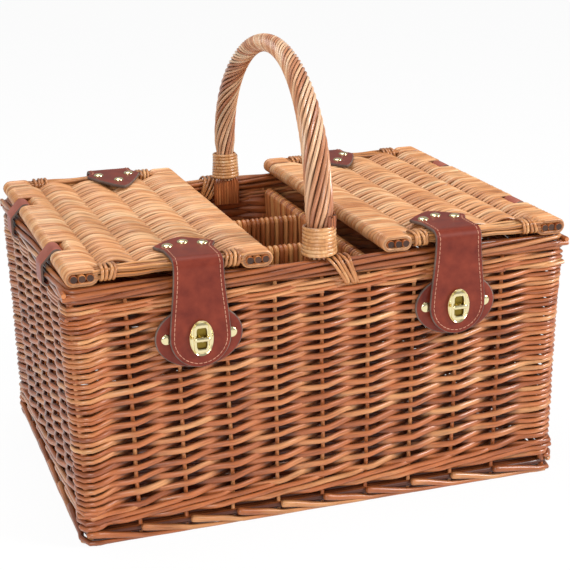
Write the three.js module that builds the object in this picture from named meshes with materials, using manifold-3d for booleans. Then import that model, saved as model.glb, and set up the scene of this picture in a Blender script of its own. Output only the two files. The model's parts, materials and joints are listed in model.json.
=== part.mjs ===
// A wicker picnic basket: a willow body with a bow handle, two end-hinged lids, leather straps
// and turn locks.
// Millimetres, +Z up, +X along the front, the front wall towards -Y, origin on the floor under the middle.

import * as THREE from "three";
import { mergeVertices } from "three/addons/utils/BufferGeometryUtils.js";
import Module from "manifold-3d";

// Body sizes
const rimLength = 480;
const rimWidth = 350;
const endFlareWidth = 7;
const sideFlareWidth = 2;
const bodyHeight = 241;
const rimHeight = 16.7;
const rimDepth = 17;
const rimInnerRadius = 1;
const footHeight = 13;
const footDepth = 16;
const footInnerRadius = 1;
const wallThickness = 13;
const wallInset = 1.6;
const wallCornerRadius = 6;
const rowPitch = 9.1;
const rowTaper = 0.43;
const rowRelief = 3;
const rowInnerRelief = 1.2;
const baseThickness = 10;
const baseClearance = 5;
const baseGap = 0.4;
const baseWavePitch = 36;
const baseWaveRelief = 1.5;

// Inside panels
const dividerSpacing = 108;
const dividerThickness = 8;
const dividerTopGap = 14.7;
const dividerBead = 12;
const crossSpacing = 102;
const crossTopGap = 17.7;
const panelRibPitch = 12;
const panelRibRelief = 1.4;

// Handle
const handleSetWidth = 17;
const handleHeight = 180;
const handleLegHeight = 40;
const handleYawDegrees = -1.45;
const handleCollarRadius = 10.8;
const handleShoulderRadius = 12.8;
const handleCrownRadius = 8.9;
const handleShoulderLength = 12;
const handleStrands = 9;
const handleStrandRelief = 0.13;
const handleTwists = 4.6;
const handleFootTwist = 0.25;
const handleLeanLength = 5;
const handleLeanWidth = 6;
const handleRings = 51;
const tongueWidth = 20;
const tongueThickness = 6;
const tongueLength = 75;
const tongueGap = 0.9;

// Bound cane
const collarCane = 3;
const collarTurns = 7;
const collarGap = 0.4;
const lashingCane = 3;
const lashingTurns = 5;
const lashingOffset = 17.5;
const bindingCane = 2.8;
const bindingTurns = 4;
const caneSpace = 0.55;
const caneFit = 0.6;

// Lids
const lidEndGap = 5;
const lidLength = 183;
const lidOverhangWidth = 0.5;
const lidThickness = 14.2;
const lidClearance = 0.6;
const lidEndGrain = 5;
const lidWavePitch = 36;
const lidWaveRelief = 2.2;
const lidColumnWall = 2;
const stickDiameter = 7.2;
const sticksInBundle = 3;
const edgeRodDiameter = 8;
const edgeRodsInBundle = 2;
const rodOverlapWidth = 0.1;

// Hinge loops
const loopSpacing = 170;
const loopWidth = 25;
const loopLeather = 2.8;
const loopOutside = 0.6;
const loopWrapDegrees = 138;

// Straps
const strapEndLength = 113;
const strapWidth = 45;
const strapFlapWidth = 55;
const strapFlare = 56;
const strapLeather = 3;
const strapBend = 9;
const strapDrop = 2.5;
const strapEdgeGap = 6.5;
const flapTipLength = 27;
const lockDepth = 54;
const rivetDiameter = 9;
const rivetRise = 1.8;
const rivetSpread = 32;
const strapEnds = {
  front: { shoulder: 42, point: 64, outerRivet: 38, middleRivet: 46 },
  rear: { shoulder: 28, point: 80, outerRivet: 27, middleRivet: 52 },
};

// Wall tabs and turn locks
const tabWidth = 79;
const tabHeight = 57;
const tabLeather = 3;
const tabRivetSpread = 59;
const tabRivetDiameter = 8;
const plateWidth = 22;
const plateHeight = 33;
const plateThickness = 1.6;
const frameThickness = 1.2;
const frameMargin = 2;
const slotWidth = 6;
const slotHeight = 15.5;
const buttonLength = 15;
const buttonWidth = 4.8;
const buttonThickness = 3.4;
const stemDiameter = 4.6;
const stemClearance = 0.5;

// Clearances
const fit = 0.3;
const hingeRun = 0.5;

// Facets of a wound cane: steps to each quarter turn and sides to the section
const fineCane = { steps: 3, sides: 5 };
const plainCane = { steps: 2, sides: 4 };

const finishes = {
  body: { color: 0xb5692f, roughness: 0.5, metalness: 0 },
  lid: { color: 0xc98f4d, roughness: 0.5, metalness: 0 },
  cane: { color: 0xd9a65a, roughness: 0.42, metalness: 0 },
  inside: { color: 0x8a4d24, roughness: 0.58, metalness: 0 },
  leather: { color: 0x74362a, roughness: 0.5, metalness: 0 },
  brass: { color: 0xd8b45c, roughness: 0.25, metalness: 1 },
};

// Sizes that follow from those above
const footLength = rimLength - 2 * endFlareWidth;
const footWidth = rimWidth - 2 * sideFlareWidth;
const rimCornerRadius = rimDepth + rimInnerRadius;
const footCornerRadius = footDepth + footInnerRadius;
const lidOuter = rimLength / 2 - lidEndGap;
const lidWidth = rimWidth + 2 * lidOverhangWidth;
const handleHalfSpan = rimWidth / 2 - handleSetWidth;
const handleTop = bodyHeight + handleHeight;
const collarLift = caneFit + lashingCane + collarGap;
const strapX = lidOuter - strapEndLength;
const strapReach = lidWidth / 2 + strapEdgeGap;
const lockHeight = bodyHeight - lockDepth;
const flapBottom = lockHeight - flapTipLength;

const wasm = await Module();
wasm.setup();

// Solids and joins

function merged(geometry) {
  const bare = geometry.index ? geometry.toNonIndexed() : geometry.clone();
  bare.deleteAttribute("normal");
  bare.deleteAttribute("uv");
  return mergeVertices(bare, 1e-4);
}

function toSolid(geometry) {
  const mesh = merged(geometry);
  const vertProperties = new Float32Array(mesh.attributes.position.array);
  const triVerts = new Uint32Array(mesh.index.array);
  return new wasm.Manifold(new wasm.Mesh({ numProp: 3, vertProperties, triVerts }));
}

function toGeometry(solid) {
  const mesh = solid.getMesh();
  const geometry = new THREE.BufferGeometry();
  geometry.setAttribute("position", new THREE.BufferAttribute(new Float32Array(mesh.vertProperties), 3));
  geometry.setIndex(new THREE.BufferAttribute(new Uint32Array(mesh.triVerts), 1));
  return geometry;
}

function join(...geometries) {
  return toGeometry(geometries.map(toSolid).reduce((whole, piece) => whole.add(piece)));
}

function cut(geometry, ...tools) {
  return toGeometry(tools.map(toSolid).reduce((rest, tool) => rest.subtract(tool), toSolid(geometry)));
}

// A skin through rings of points, capped at both ends or closed into an endless loop.
function loft(rings, endless = false) {
  const count = rings[0].length;
  const points = rings.flat();
  const faces = [];
  const spans = endless ? rings.length : rings.length - 1;
  for (let i = 0; i < spans; i += 1) {
    const here = i * count;
    const next = ((i + 1) % rings.length) * count;
    for (let j = 0; j < count; j += 1) {
      const k = (j + 1) % count;
      faces.push([here + j, here + k, next + k], [here + j, next + k, next + j]);
    }
  }
  if (!endless) {
    const ends = [0, rings.length - 1];
    ends.forEach((end) => {
      const middle = rings[end].reduce((sum, p) => sum.add(p), new THREE.Vector3()).divideScalar(count);
      points.push(middle);
      for (let j = 0; j < count; j += 1) {
        const face = [points.length - 1, end * count + ((j + 1) % count), end * count + j];
        faces.push(end === 0 ? face : face.reverse());
      }
    });
  }
  const volume = faces.reduce((sum, [a, b, c]) => {
    return sum + points[a].dot(new THREE.Vector3().crossVectors(points[b], points[c]));
  }, 0);
  const outward = volume > 0 ? faces : faces.map(([a, b, c]) => [a, c, b]);
  const geometry = new THREE.BufferGeometry().setFromPoints(points);
  geometry.setIndex(outward.flat());
  return geometry;
}

function extrude(shape, depth, curveSegments = 8) {
  return new THREE.ExtrudeGeometry(shape, { depth, bevelEnabled: false, curveSegments });
}

// An outline in X and Z, carried along Y and centred on it.
function alongY(shape, depth, curveSegments = 8) {
  return extrude(shape, depth, curveSegments).rotateX(Math.PI / 2).translate(0, depth / 2, 0);
}

// An outline in Y and Z, carried along X and centred on it.
function alongX(shape, depth, curveSegments = 8) {
  return extrude(shape, depth, curveSegments)
    .rotateY(Math.PI / 2)
    .rotateX(Math.PI / 2)
    .translate(-depth / 2, 0, 0);
}

function box(sizeX, sizeY, sizeZ, x, y, z) {
  return new THREE.BoxGeometry(sizeX, sizeY, sizeZ).translate(x, y, z);
}

// A domed rivet head standing on the XY plane.
function rivetHead(diameter) {
  const radius = diameter / 2;
  const steps = 2;
  const profile = [new THREE.Vector2(0, -fit), new THREE.Vector2(radius, -fit)];
  for (let i = 0; i < steps; i += 1) {
    const angle = (Math.PI / 2) * (i / steps);
    profile.push(new THREE.Vector2(radius * Math.cos(angle), rivetRise * Math.sin(angle)));
  }
  profile.push(new THREE.Vector2(0, rivetRise));
  return new THREE.LatheGeometry(profile, 8).rotateX(Math.PI / 2);
}

// Outline of round rods laid side by side along u, as one lobed bar.
function rodRow(diameter, rods, uFirst, v, grow = 0) {
  const radius = diameter / 2 + grow;
  const pitch = diameter - rodOverlapWidth;
  const reach = Math.acos(pitch / 2 / radius);
  const steps = 4;
  const upper = [];
  const lower = [];
  for (let i = 0; i < rods; i += 1) {
    const start = i === 0 ? Math.PI : Math.PI - reach;
    const end = i === rods - 1 ? 0 : reach;
    for (let k = i === 0 ? 0 : 1; k <= steps; k += 1) {
      const angle = start + ((end - start) * k) / steps;
      const u = uFirst + i * pitch + radius * Math.cos(angle);
      upper.push([u, v + radius * Math.sin(angle)]);
      lower.push([u, v - radius * Math.sin(angle)]);
    }
  }
  lower.pop();
  lower.shift();
  return upper.concat(lower.reverse()).map(([u, w]) => new THREE.Vector2(u, w));
}

// Woven sheets and rings

// Half-length and half-width of the wall's outer face at a height, from the taper between foot and rim.
function wallHalf(z) {
  const share = z / bodyHeight;
  return {
    length: THREE.MathUtils.lerp(footLength, rimLength, share) / 2 - wallInset,
    width: THREE.MathUtils.lerp(footWidth, rimWidth, share) / 2 - wallInset,
  };
}

const wallBottom = footHeight + fit;
const wallTop = bodyHeight - rimHeight - fit;

// A wall panel skinned through rows that stand proud and sink back in turn, as woven rods do. Rows are packed closer
// towards the rim: their height falls off as an exponential.
function wovenWall(outlineAt) {
  const rows = Math.round((wallTop - wallBottom) / rowPitch);
  const levels = 2 * rows;
  const rings = [];
  for (let i = 0; i <= levels; i += 1) {
    const rise = (1 - Math.exp((-rowTaper * i) / levels)) / (1 - Math.exp(-rowTaper));
    const z = THREE.MathUtils.lerp(wallBottom, wallTop, rise);
    const sunk = i % 2 === 0;
    rings.push(outlineAt(z, sunk).map(([x, y]) => new THREE.Vector3(x, y, z)));
  }
  return loft(rings);
}

// The front wall carries both round corners of the basket.
function longWallOutline(z, sunk) {
  const half = wallHalf(z);
  const relief = sunk ? rowRelief : 0;
  const side = half.length - relief;
  const outer = half.width - relief;
  const inner = half.width - wallThickness + (sunk ? rowInnerRelief : 0);
  const radius = Math.min(wallCornerRadius, outer - inner - fit);
  const steps = 3;
  const outline = [[side, -inner], [-side, -inner]];
  for (let i = 0; i <= steps; i += 1) {
    const angle = (Math.PI / 2) * (i / steps);
    outline.push([-side + radius - radius * Math.cos(angle), -outer + radius - radius * Math.sin(angle)]);
  }
  for (let i = 0; i <= steps; i += 1) {
    const angle = (Math.PI / 2) * (i / steps);
    outline.push([side - radius + radius * Math.sin(angle), -outer + radius - radius * Math.cos(angle)]);
  }
  return outline;
}

// An end wall stands between the two long ones.
function endWallOutline(z, sunk) {
  const half = wallHalf(z);
  const end = half.width - wallThickness - fit;
  const outer = -half.length + (sunk ? rowRelief : 0);
  const inner = -half.length + wallThickness - (sunk ? rowInnerRelief : 0);
  return [[outer, -end], [inner, -end], [inner, end], [outer, end]];
}

// A section of (outward, up) points swept round a rectangle with round corners.
function border(length, width, radius, section) {
  const steps = 5;
  const corners = [[1, 1], [-1, 1], [-1, -1], [1, -1]];
  const rings = [];
  corners.forEach(([sx, sy], corner) => {
    for (let i = 0; i <= steps; i += 1) {
      const angle = (Math.PI / 2) * (corner + i / steps);
      const centreX = sx * (length / 2 - radius);
      const centreY = sy * (width / 2 - radius);
      rings.push(section.map(([out, up]) => new THREE.Vector3(
        centreX + (radius + out) * Math.cos(angle),
        centreY + (radius + out) * Math.sin(angle),
        up,
      )));
    }
  });
  return loft(rings, true);
}

// Four laid rods, two over two, as a lobed section.
function rimSection() {
  const radiusOut = rimDepth / 4;
  const radiusUp = rimHeight / 4;
  const centres = [[3, 3, 0], [1, 3, 1], [1, 1, 2], [3, 1, 3]];
  const steps = 3;
  const lobeOverlap = 0.3;
  return centres.flatMap(([out, up, quarter]) => {
    const points = [];
    for (let i = 0; i <= steps; i += 1) {
      const angle = (Math.PI / 2) * (quarter - lobeOverlap + ((1 + 2 * lobeOverlap) * i) / steps);
      points.push([
        -rimDepth + radiusOut * (out + Math.cos(angle)),
        bodyHeight - rimHeight + radiusUp * (up + Math.sin(angle)),
      ]);
    }
    return points;
  });
}

// The plaited foot: a flat sole and two rolls one over the other.
function footSection() {
  return [
    [-0.12, 0], [0, 0.15], [0, 0.36], [-0.1, 0.5], [0, 0.64], [0, 0.85], [-0.16, 1],
    [-0.84, 1], [-1, 0.85], [-1, 0.15], [-0.88, 0],
  ].map(([out, up]) => [out * footDepth, up * footHeight]);
}

// A sheet woven on sticks: its upper and lower faces swell over each stick and dip between them.
function waveShape(from, to, z, thickness, pitch, relief) {
  const waves = Math.max(2, Math.round((to - from) / pitch));
  const stepsPerWave = 4;
  const steps = waves * stepsPerWave;
  const upper = [];
  for (let i = 0; i <= steps; i += 1) {
    const swell = Math.abs(Math.sin((Math.PI * i) / stepsPerWave));
    upper.push([from + ((to - from) * i) / steps, thickness / 2 - relief * (1 - swell)]);
  }
  const outline = upper.map(([x, h]) => new THREE.Vector2(x, z + h));
  return outline.concat(upper.reverse().map(([x, h]) => new THREE.Vector2(x, z - h)));
}

// A panel of upright rods wrapped over a top rod, standing along Y.
function uprightPanel(length, bottom, top) {
  const ribs = Math.max(2, Math.round(length / panelRibPitch));
  const edge = [];
  for (let i = 0; i <= ribs * 2; i += 1) {
    const proud = i % 2 === 0 ? panelRibRelief : 0;
    edge.push([dividerThickness / 2 - proud, length * (i / (ribs * 2) - 0.5)]);
  }
  const other = edge.map(([x, y]) => [-x, y]).reverse();
  const plan = new THREE.Shape(edge.concat(other).map(([x, y]) => new THREE.Vector2(x, y)));
  const beadMiddle = top - dividerBead / 2;
  const bead = new THREE.Shape().absarc(0, beadMiddle, dividerBead / 2, 0, 2 * Math.PI);
  const sheet = extrude(plan, beadMiddle - bottom).translate(0, 0, bottom);
  return join(sheet, alongY(bead, length, 5));
}

// Wound cane

// Points of one turn round a rectangle with round corners, with the share of the turn at each.
function turnPoints(halfU, halfV, bend, steps) {
  const arc = (Math.PI * bend) / 2;
  const flatU = 2 * (halfU - bend);
  const flatV = 2 * (halfV - bend);
  const whole = 4 * arc + 2 * (flatU + flatV);
  const corners = [[1, -1], [1, 1], [-1, 1], [-1, -1]];
  const points = [];
  let travelled = 0;
  corners.forEach(([su, sv], corner) => {
    for (let i = 0; i <= steps; i += 1) {
      const angle = (Math.PI / 2) * (corner - 1 + i / steps);
      points.push({
        u: su * (halfU - bend) + bend * Math.cos(angle),
        v: sv * (halfV - bend) + bend * Math.sin(angle),
        share: (travelled + (arc * i) / steps) / whole,
      });
    }
    travelled += arc + (corner % 2 === 0 ? flatV : flatU);
  });
  return points.filter((p, i) => i === 0 || p.share - points[i - 1].share > 1e-6);
}

// One unbroken cane wound along W; it starts and ends under the piece, straight for one cane's thickness.
function winding(label, cane, turns, core, facets) {
  const reach = caneFit + cane / 2;
  const one = turnPoints(core.halfU + reach, core.halfV + reach, core.bend + reach, facets.steps);
  const pitch = cane + caneSpace;
  const route = [];
  for (let turn = 0; turn < turns; turn += 1) {
    one.filter((p) => p.share < 1 - 1e-6).forEach((p) => {
      route.push(new THREE.Vector3(p.u, p.v, (turn + p.share - turns / 2) * pitch));
    });
  }
  route.push(new THREE.Vector3(one[0].u, one[0].v, (turns / 2) * pitch));
  const first = route[0].clone().add(new THREE.Vector3(-cane, 0, 0));
  const last = route.at(-1).clone().add(new THREE.Vector3(cane, 0, 0));
  const path = [first, ...route, last];
  const least = leastSelfGap(path, one.length, cane);
  console.log(`${label}: least gap between turns ${least.toFixed(2)} mm`);
  return caneTube(path, cane / 2, facets.sides);
}

function leastSelfGap(route, perTurn, cane) {
  let least = Infinity;
  route.forEach((p, i) => {
    route.slice(i + Math.ceil(perTurn / 2)).forEach((q) => {
      least = Math.min(least, p.distanceTo(q) - cane);
    });
  });
  return least;
}

// A round tube whose rings stand square to the path, mitred at each bend.
function caneTube(path, radius, sides) {
  const axis = new THREE.Vector3(0, 0, 1);
  const rings = path.map((p, i) => {
    const before = path[Math.max(i - 1, 0)];
    const after = path[Math.min(i + 1, path.length - 1)];
    const along = after.clone().sub(before).normalize();
    const across = new THREE.Vector3().crossVectors(axis, along).normalize();
    const up = new THREE.Vector3().crossVectors(along, across);
    const ring = [];
    for (let k = 0; k < sides; k += 1) {
      const angle = (2 * Math.PI * (k + 0.5)) / sides;
      const offset = across.clone().multiplyScalar(radius * Math.cos(angle));
      ring.push(p.clone().add(offset).addScaledVector(up, radius * Math.sin(angle)));
    }
    return ring;
  });
  return loft(rings);
}

// Handle

const handleFoot = bodyHeight + fit;
const handleLegTop = handleFoot + handleLegHeight;
const collarPitch = collarCane + caneSpace;
const collarLength = collarTurns * collarPitch + collarCane;

// The bow leans a little towards the right and the front as it rises, as a hand-bent one does.
function handlePath() {
  const rise = handleTop - handleCrownRadius - handleLegTop;
  const steps = 12;
  const points = [new THREE.Vector3(0, -handleHalfSpan, handleFoot)];
  for (let i = 0; i <= steps; i += 1) {
    const angle = (Math.PI * i) / steps;
    const lean = Math.sin(angle) ** 2;
    points.push(new THREE.Vector3(
      handleLeanLength * lean,
      -handleHalfSpan * Math.cos(angle) - handleLeanWidth * lean,
      handleLegTop + rise * Math.sin(angle),
    ));
  }
  points.push(new THREE.Vector3(0, handleHalfSpan, handleFoot));
  return new THREE.CatmullRomCurve3(points, false, "centripetal");
}

// Turns of the twist from the front foot: its rate grows from the feet to the crown as a squared sine.
function twistTurns(share) {
  const grown = share / 2 - Math.sin(2 * Math.PI * share) / (4 * Math.PI);
  const whole = handleFootTwist + (1 - handleFootTwist) / 2;
  return (handleTwists * (handleFootTwist * share + (1 - handleFootTwist) * grown)) / whole;
}

// The bow is slim under its collars, full just above them and slim again at the crown.
function handleRadius(fromFoot, halfLength) {
  const ringStep = (2 * halfLength) / (handleRings - 1);
  const shoulder = collarLift + collarLength + ringStep / 2;
  const fill = THREE.MathUtils.smoothstep(fromFoot, shoulder, shoulder + handleShoulderLength);
  const slim = THREE.MathUtils.smoothstep(fromFoot, shoulder + handleShoulderLength, halfLength);
  const upper = THREE.MathUtils.lerp(handleShoulderRadius, handleCrownRadius, slim);
  return THREE.MathUtils.lerp(handleCollarRadius, upper, fill);
}

// Twisted strands: a lobed section that turns as it is carried along the bow.
function twistedBow() {
  const path = handlePath();
  const length = path.getLength();
  const across = new THREE.Vector3(1, 0, 0);
  const rings = [];
  for (let i = 0; i < handleRings; i += 1) {
    const share = i / (handleRings - 1);
    const centre = path.getPointAt(share);
    const along = path.getTangentAt(share);
    const inward = new THREE.Vector3().crossVectors(along, across);
    const radius = handleRadius(Math.min(share, 1 - share) * length, length / 2);
    const turn = 2 * Math.PI * twistTurns(share);
    const ring = [];
    for (let k = 0; k < handleStrands * 2; k += 1) {
      const angle = turn + (Math.PI * k) / handleStrands;
      const reach = radius * (k % 2 === 0 ? 1 : 1 - handleStrandRelief);
      ring.push(centre.clone()
        .addScaledVector(across, reach * Math.cos(angle))
        .addScaledVector(inward, reach * Math.sin(angle)));
    }
    rings.push(ring);
  }
  return loft(rings);
}

// A bundle of the bow's rods driven down behind the rim, against the inside of the wall.
function handleTongue(side) {
  const top = handleFoot + collarLift;
  const seat = Math.min(rimWidth / 2 - rimDepth, wallHalf(top - tongueLength).width - wallThickness);
  const inner = seat - tongueGap - tongueThickness / 2;
  return box(tongueWidth, tongueThickness, tongueLength, 0, side * inner, top - tongueLength / 2);
}

// Lids, in a frame whose X runs from the lid's outer end towards the middle of the basket

const lidHalf = Math.max(lidThickness / 2, edgeRodDiameter / 2 + caneFit + bindingCane - fit);
const lidMiddle = bodyHeight + lidClearance + lidHalf;
const pivotIn = lidThickness / 2;
const stickPitch = stickDiameter - rodOverlapWidth;
const bundleWidth = stickDiameter + (sticksInBundle - 1) * stickPitch;
const bundleEnd = pivotIn - stickDiameter / 2 + bundleWidth;
const innerSticksStart = lidLength - pivotIn - (sticksInBundle - 1) * stickPitch;
const columnWidth = bundleEnd + fit + lidColumnWall;
const edgePitch = edgeRodDiameter - rodOverlapWidth;
const edgeWidth = edgeRodDiameter + (edgeRodsInBundle - 1) * edgePitch;
const rodInset = lidWidth / 2 - lidEndGrain;
const bindingLength = (bindingTurns + 1) * (bindingCane + caneSpace) + bindingCane;
const sweepRadius = stickDiameter / 2 + hingeRun;
const notchDepth = pivotIn + sweepRadius + loopLeather + hingeRun;

function lidPanel() {
  const innerEnd = lidLength - columnWidth;
  const wave = waveShape(columnWidth, innerEnd, lidMiddle, lidThickness, lidWavePitch, lidWaveRelief);
  const half = wave.length / 2;
  const round = (centre, start) => {
    const steps = 6;
    const points = [];
    for (let i = 0; i <= steps; i += 1) {
      const angle = start - (Math.PI * i) / steps;
      points.push(new THREE.Vector2(
        centre + (lidThickness / 2) * Math.cos(angle),
        lidMiddle + (lidThickness / 2) * Math.sin(angle),
      ));
    }
    return points;
  };
  const outline = [
    ...wave.slice(0, half),
    ...round(lidLength - pivotIn, Math.PI / 2),
    ...wave.slice(half),
    ...round(pivotIn, -Math.PI / 2),
  ];
  const panel = alongY(new THREE.Shape(outline), lidWidth - 2 * lidEndGrain);
  const tall = lidThickness * 2;
  const tools = [pivotIn, innerSticksStart].map((first) => {
    return alongY(new THREE.Shape(rodRow(stickDiameter, sticksInBundle, first, lidMiddle, fit)), lidWidth);
  });
  [-1, 1].forEach((side) => {
    const rodSpace = edgeWidth + 2 * fit;
    const inner = lidLength - 2 * columnWidth;
    tools.push(box(inner, 2 * rodSpace, tall, lidLength / 2, side * rodInset, lidMiddle));
    [columnWidth, innerEnd].forEach((end, i) => {
      const depth = rodSpace + bindingCane + caneFit;
      const middle = end + (i === 0 ? 1 : -1) * (bindingLength / 2);
      tools.push(box(bindingLength, 2 * depth, tall, middle, side * rodInset, lidMiddle));
    });
    const notch = loopWidth + 2 * hingeRun;
    tools.push(box(2 * notchDepth, notch, tall, 0, (side * loopSpacing) / 2, lidMiddle));
  });
  return cut(panel, ...tools);
}

function lidSticks(first) {
  return alongY(new THREE.Shape(rodRow(stickDiameter, sticksInBundle, first, lidMiddle)), lidWidth);
}

// The outer bundle is pared behind its first stick, where each leather loop goes down between two sticks.
function hingeSticks() {
  const start = pivotIn + stickDiameter / 2 - rodOverlapWidth / 2;
  const slots = [-1, 1].map((side) => {
    const middle = (start + notchDepth) / 2;
    return box(notchDepth - start, loopWidth + 2 * hingeRun, lidThickness, middle, (side * loopSpacing) / 2, lidMiddle);
  });
  return cut(lidSticks(pivotIn), ...slots);
}

function lidEdgeRods(side) {
  const near = rodInset - fit - edgeRodDiameter / 2;
  const start = side < 0 ? -near : near - edgePitch * (edgeRodsInBundle - 1);
  const shape = new THREE.Shape(rodRow(edgeRodDiameter, edgeRodsInBundle, start, lidMiddle));
  const length = lidLength - 2 * (columnWidth + fit);
  return alongX(shape, length).translate(lidLength / 2, 0, 0);
}

function lidBinding(label, side, end) {
  const core = { halfU: edgeWidth / 2, halfV: edgeRodDiameter / 2, bend: edgeRodDiameter / 2 };
  const turns = winding(label, bindingCane, bindingTurns, core, plainCane);
  const middle = columnWidth + bindingLength / 2;
  const y = side * (rodInset - fit - edgeWidth / 2);
  return turns.rotateY(Math.PI / 2).rotateX(Math.PI / 2)
    .translate(end < 0 ? middle : lidLength - middle, y, lidMiddle);
}

// A leather band that goes under the rim, up outside it, over the outermost stick and down through the lid.
function hingeLoop() {
  const rimOuter = rimLength / 2 - lidOuter;
  const half = loopLeather / 2;
  const under = bodyHeight - rimHeight - fit - half;
  const outside = -rimOuter - loopOutside - half;
  const inside = rimDepth - rimOuter + fit + half;
  const radius = sweepRadius + half;
  const points = [
    [inside, under],
    [inside, bodyHeight - rimHeight / 4],
    [pivotIn + radius, lidMiddle - lidHalf],
  ];
  const steps = 8;
  const lastAngle = THREE.MathUtils.degToRad(loopWrapDegrees);
  for (let i = 0; i <= steps; i += 1) {
    const angle = (lastAngle * i) / steps;
    points.push([pivotIn + radius * Math.cos(angle), lidMiddle + radius * Math.sin(angle)]);
  }
  const [lastX, lastZ] = points.at(-1);
  points.push([outside, lastZ + (lastX - outside) / Math.tan(lastAngle)]);
  points.push([outside, under + loopLeather], [outside + loopLeather, under]);
  const route = points.map(([x, z]) => new THREE.Vector2(x, z));
  const sides = [-half, half].map((offset) => route.map((p, i) => {
    const before = route.at(i - 1).clone().sub(p).normalize();
    const after = route[(i + 1) % route.length].clone().sub(p).normalize();
    const square = new THREE.Vector2(after.y - before.y, before.x - after.x).normalize();
    const mitre = Math.max(0.5, Math.abs(square.x * after.y - square.y * after.x));
    return p.clone().addScaledVector(square, offset / mitre);
  }));
  const shape = new THREE.Shape(sides[1]);
  shape.holes.push(new THREE.Path(sides[0]));
  return alongY(shape, loopWidth);
}

// Straps, in a frame whose X is the strap's middle and whose outside is towards -Y

const strapUnder = lidMiddle + lidHalf + fit;
const strapButt = strapUnder + strapLeather - strapBend - strapDrop;
const flapOuter = -strapReach;
const flapInner = flapOuter + strapLeather;
const tabEnds = [lockHeight - tabHeight / 2, lockHeight + tabHeight / 2];
const tabFace = Math.max(...tabEnds.map((z) => wallHalf(z).width)) + fit;

function strapTop(end) {
  const edge = lidWidth / 2;
  const bendStart = strapReach - strapBend;
  const plan = new THREE.Shape();
  const shoulder = -edge + end.shoulder;
  plan.moveTo(-strapWidth / 2, -bendStart);
  plan.lineTo(strapWidth / 2, -bendStart);
  plan.bezierCurveTo(
    strapWidth / 2, shoulder - end.shoulder / 4,
    strapFlare / 2, shoulder - end.shoulder / 4,
    strapFlare / 2, shoulder,
  );
  plan.quadraticCurveTo(strapFlare / 4, -edge + (end.shoulder + end.point) / 2, 0, -edge + end.point);
  plan.quadraticCurveTo(-strapFlare / 4, -edge + (end.shoulder + end.point) / 2, -strapFlare / 2, shoulder);
  plan.bezierCurveTo(
    -strapFlare / 2, shoulder - end.shoulder / 4,
    -strapWidth / 2, shoulder - end.shoulder / 4,
    -strapWidth / 2, -bendStart,
  );
  const flat = extrude(plan, strapLeather, 4).translate(0, 0, strapUnder);
  const centre = strapUnder + strapLeather - strapBend;
  const bend = new THREE.Shape();
  bend.moveTo(-bendStart + fit, strapUnder);
  bend.lineTo(-bendStart + fit, strapUnder + strapLeather);
  bend.lineTo(-bendStart, strapUnder + strapLeather);
  bend.absarc(-bendStart, centre, strapBend, Math.PI / 2, Math.PI, false);
  bend.lineTo(flapOuter, strapButt);
  bend.lineTo(flapInner, strapButt);
  bend.absarc(-bendStart, centre, strapBend - strapLeather, Math.PI, Math.PI / 2, true);
  const rivets = [-1, 0, 1].map((place) => {
    const y = -edge + (place === 0 ? end.middleRivet : end.outerRivet);
    return rivetHead(rivetDiameter).translate((place * rivetSpread) / 2, y, strapUnder + strapLeather);
  });
  return join(flat, alongX(bend, strapWidth, 5), ...rivets);
}

function slotPath(width, height) {
  const path = new THREE.Path();
  path.moveTo(-width / 2, -height / 2);
  path.lineTo(width / 2, -height / 2);
  path.lineTo(width / 2, height / 2);
  path.lineTo(-width / 2, height / 2);
  path.closePath();
  return path;
}

// The hanging flap: straight at the top, swelling to a round end that holds the lock.
function strapFlap() {
  const top = strapButt - fit - lockHeight;
  const round = strapFlapWidth / 2;
  const low = flapBottom - lockHeight + round;
  const narrow = strapWidth / 2;
  const shape = new THREE.Shape();
  shape.moveTo(narrow, top);
  shape.lineTo(-narrow, top);
  shape.lineTo(-narrow, top / 2);
  shape.bezierCurveTo(-narrow, top / 4, -round, top / 4, -round, low);
  shape.absarc(0, low, round, Math.PI, 2 * Math.PI, false);
  shape.bezierCurveTo(round, top / 4, narrow, top / 4, narrow, top / 2);
  shape.closePath();
  shape.holes.push(slotPath(slotWidth, slotHeight));
  return extrude(shape, strapLeather, 5).rotateX(Math.PI / 2).translate(0, flapInner, lockHeight);
}

// An oval plate with a raised frame round its slot.
function lockPlate() {
  const oval = new THREE.Shape().absellipse(0, 0, plateWidth / 2, plateHeight / 2, 0, 2 * Math.PI);
  oval.holes.push(slotPath(slotWidth, slotHeight));
  const rim = slotPath(slotWidth + 2 * frameMargin, slotHeight + 2 * frameMargin);
  const frame = new THREE.Shape(rim.getPoints());
  frame.holes.push(slotPath(slotWidth, slotHeight));
  const plate = extrude(oval, plateThickness, 10);
  const raised = extrude(frame, plateThickness + frameThickness);
  return join(plate, raised).rotateX(Math.PI / 2).translate(0, flapOuter - fit, lockHeight);
}

// A bar across the slot on a stem that reaches back towards the wall tab.
function turnButton() {
  const front = flapOuter - 2 * fit - plateThickness - frameThickness;
  const back = -(tabFace + tabLeather + rivetRise + stemClearance);
  const bar = new THREE.Shape();
  const straight = (buttonLength - buttonWidth) / 2;
  bar.absarc(straight, 0, buttonWidth / 2, -Math.PI / 2, Math.PI / 2, false);
  bar.absarc(-straight, 0, buttonWidth / 2, Math.PI / 2, (3 * Math.PI) / 2, false);
  const head = extrude(bar, buttonThickness, 4).rotateX(Math.PI / 2).translate(0, front, 0);
  const reach = back - front + buttonThickness / 2;
  const stem = new THREE.CylinderGeometry(stemDiameter / 2, stemDiameter / 2, reach, 12);
  return join(head, stem.translate(0, back - reach / 2, 0)).translate(0, 0, lockHeight);
}

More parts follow.
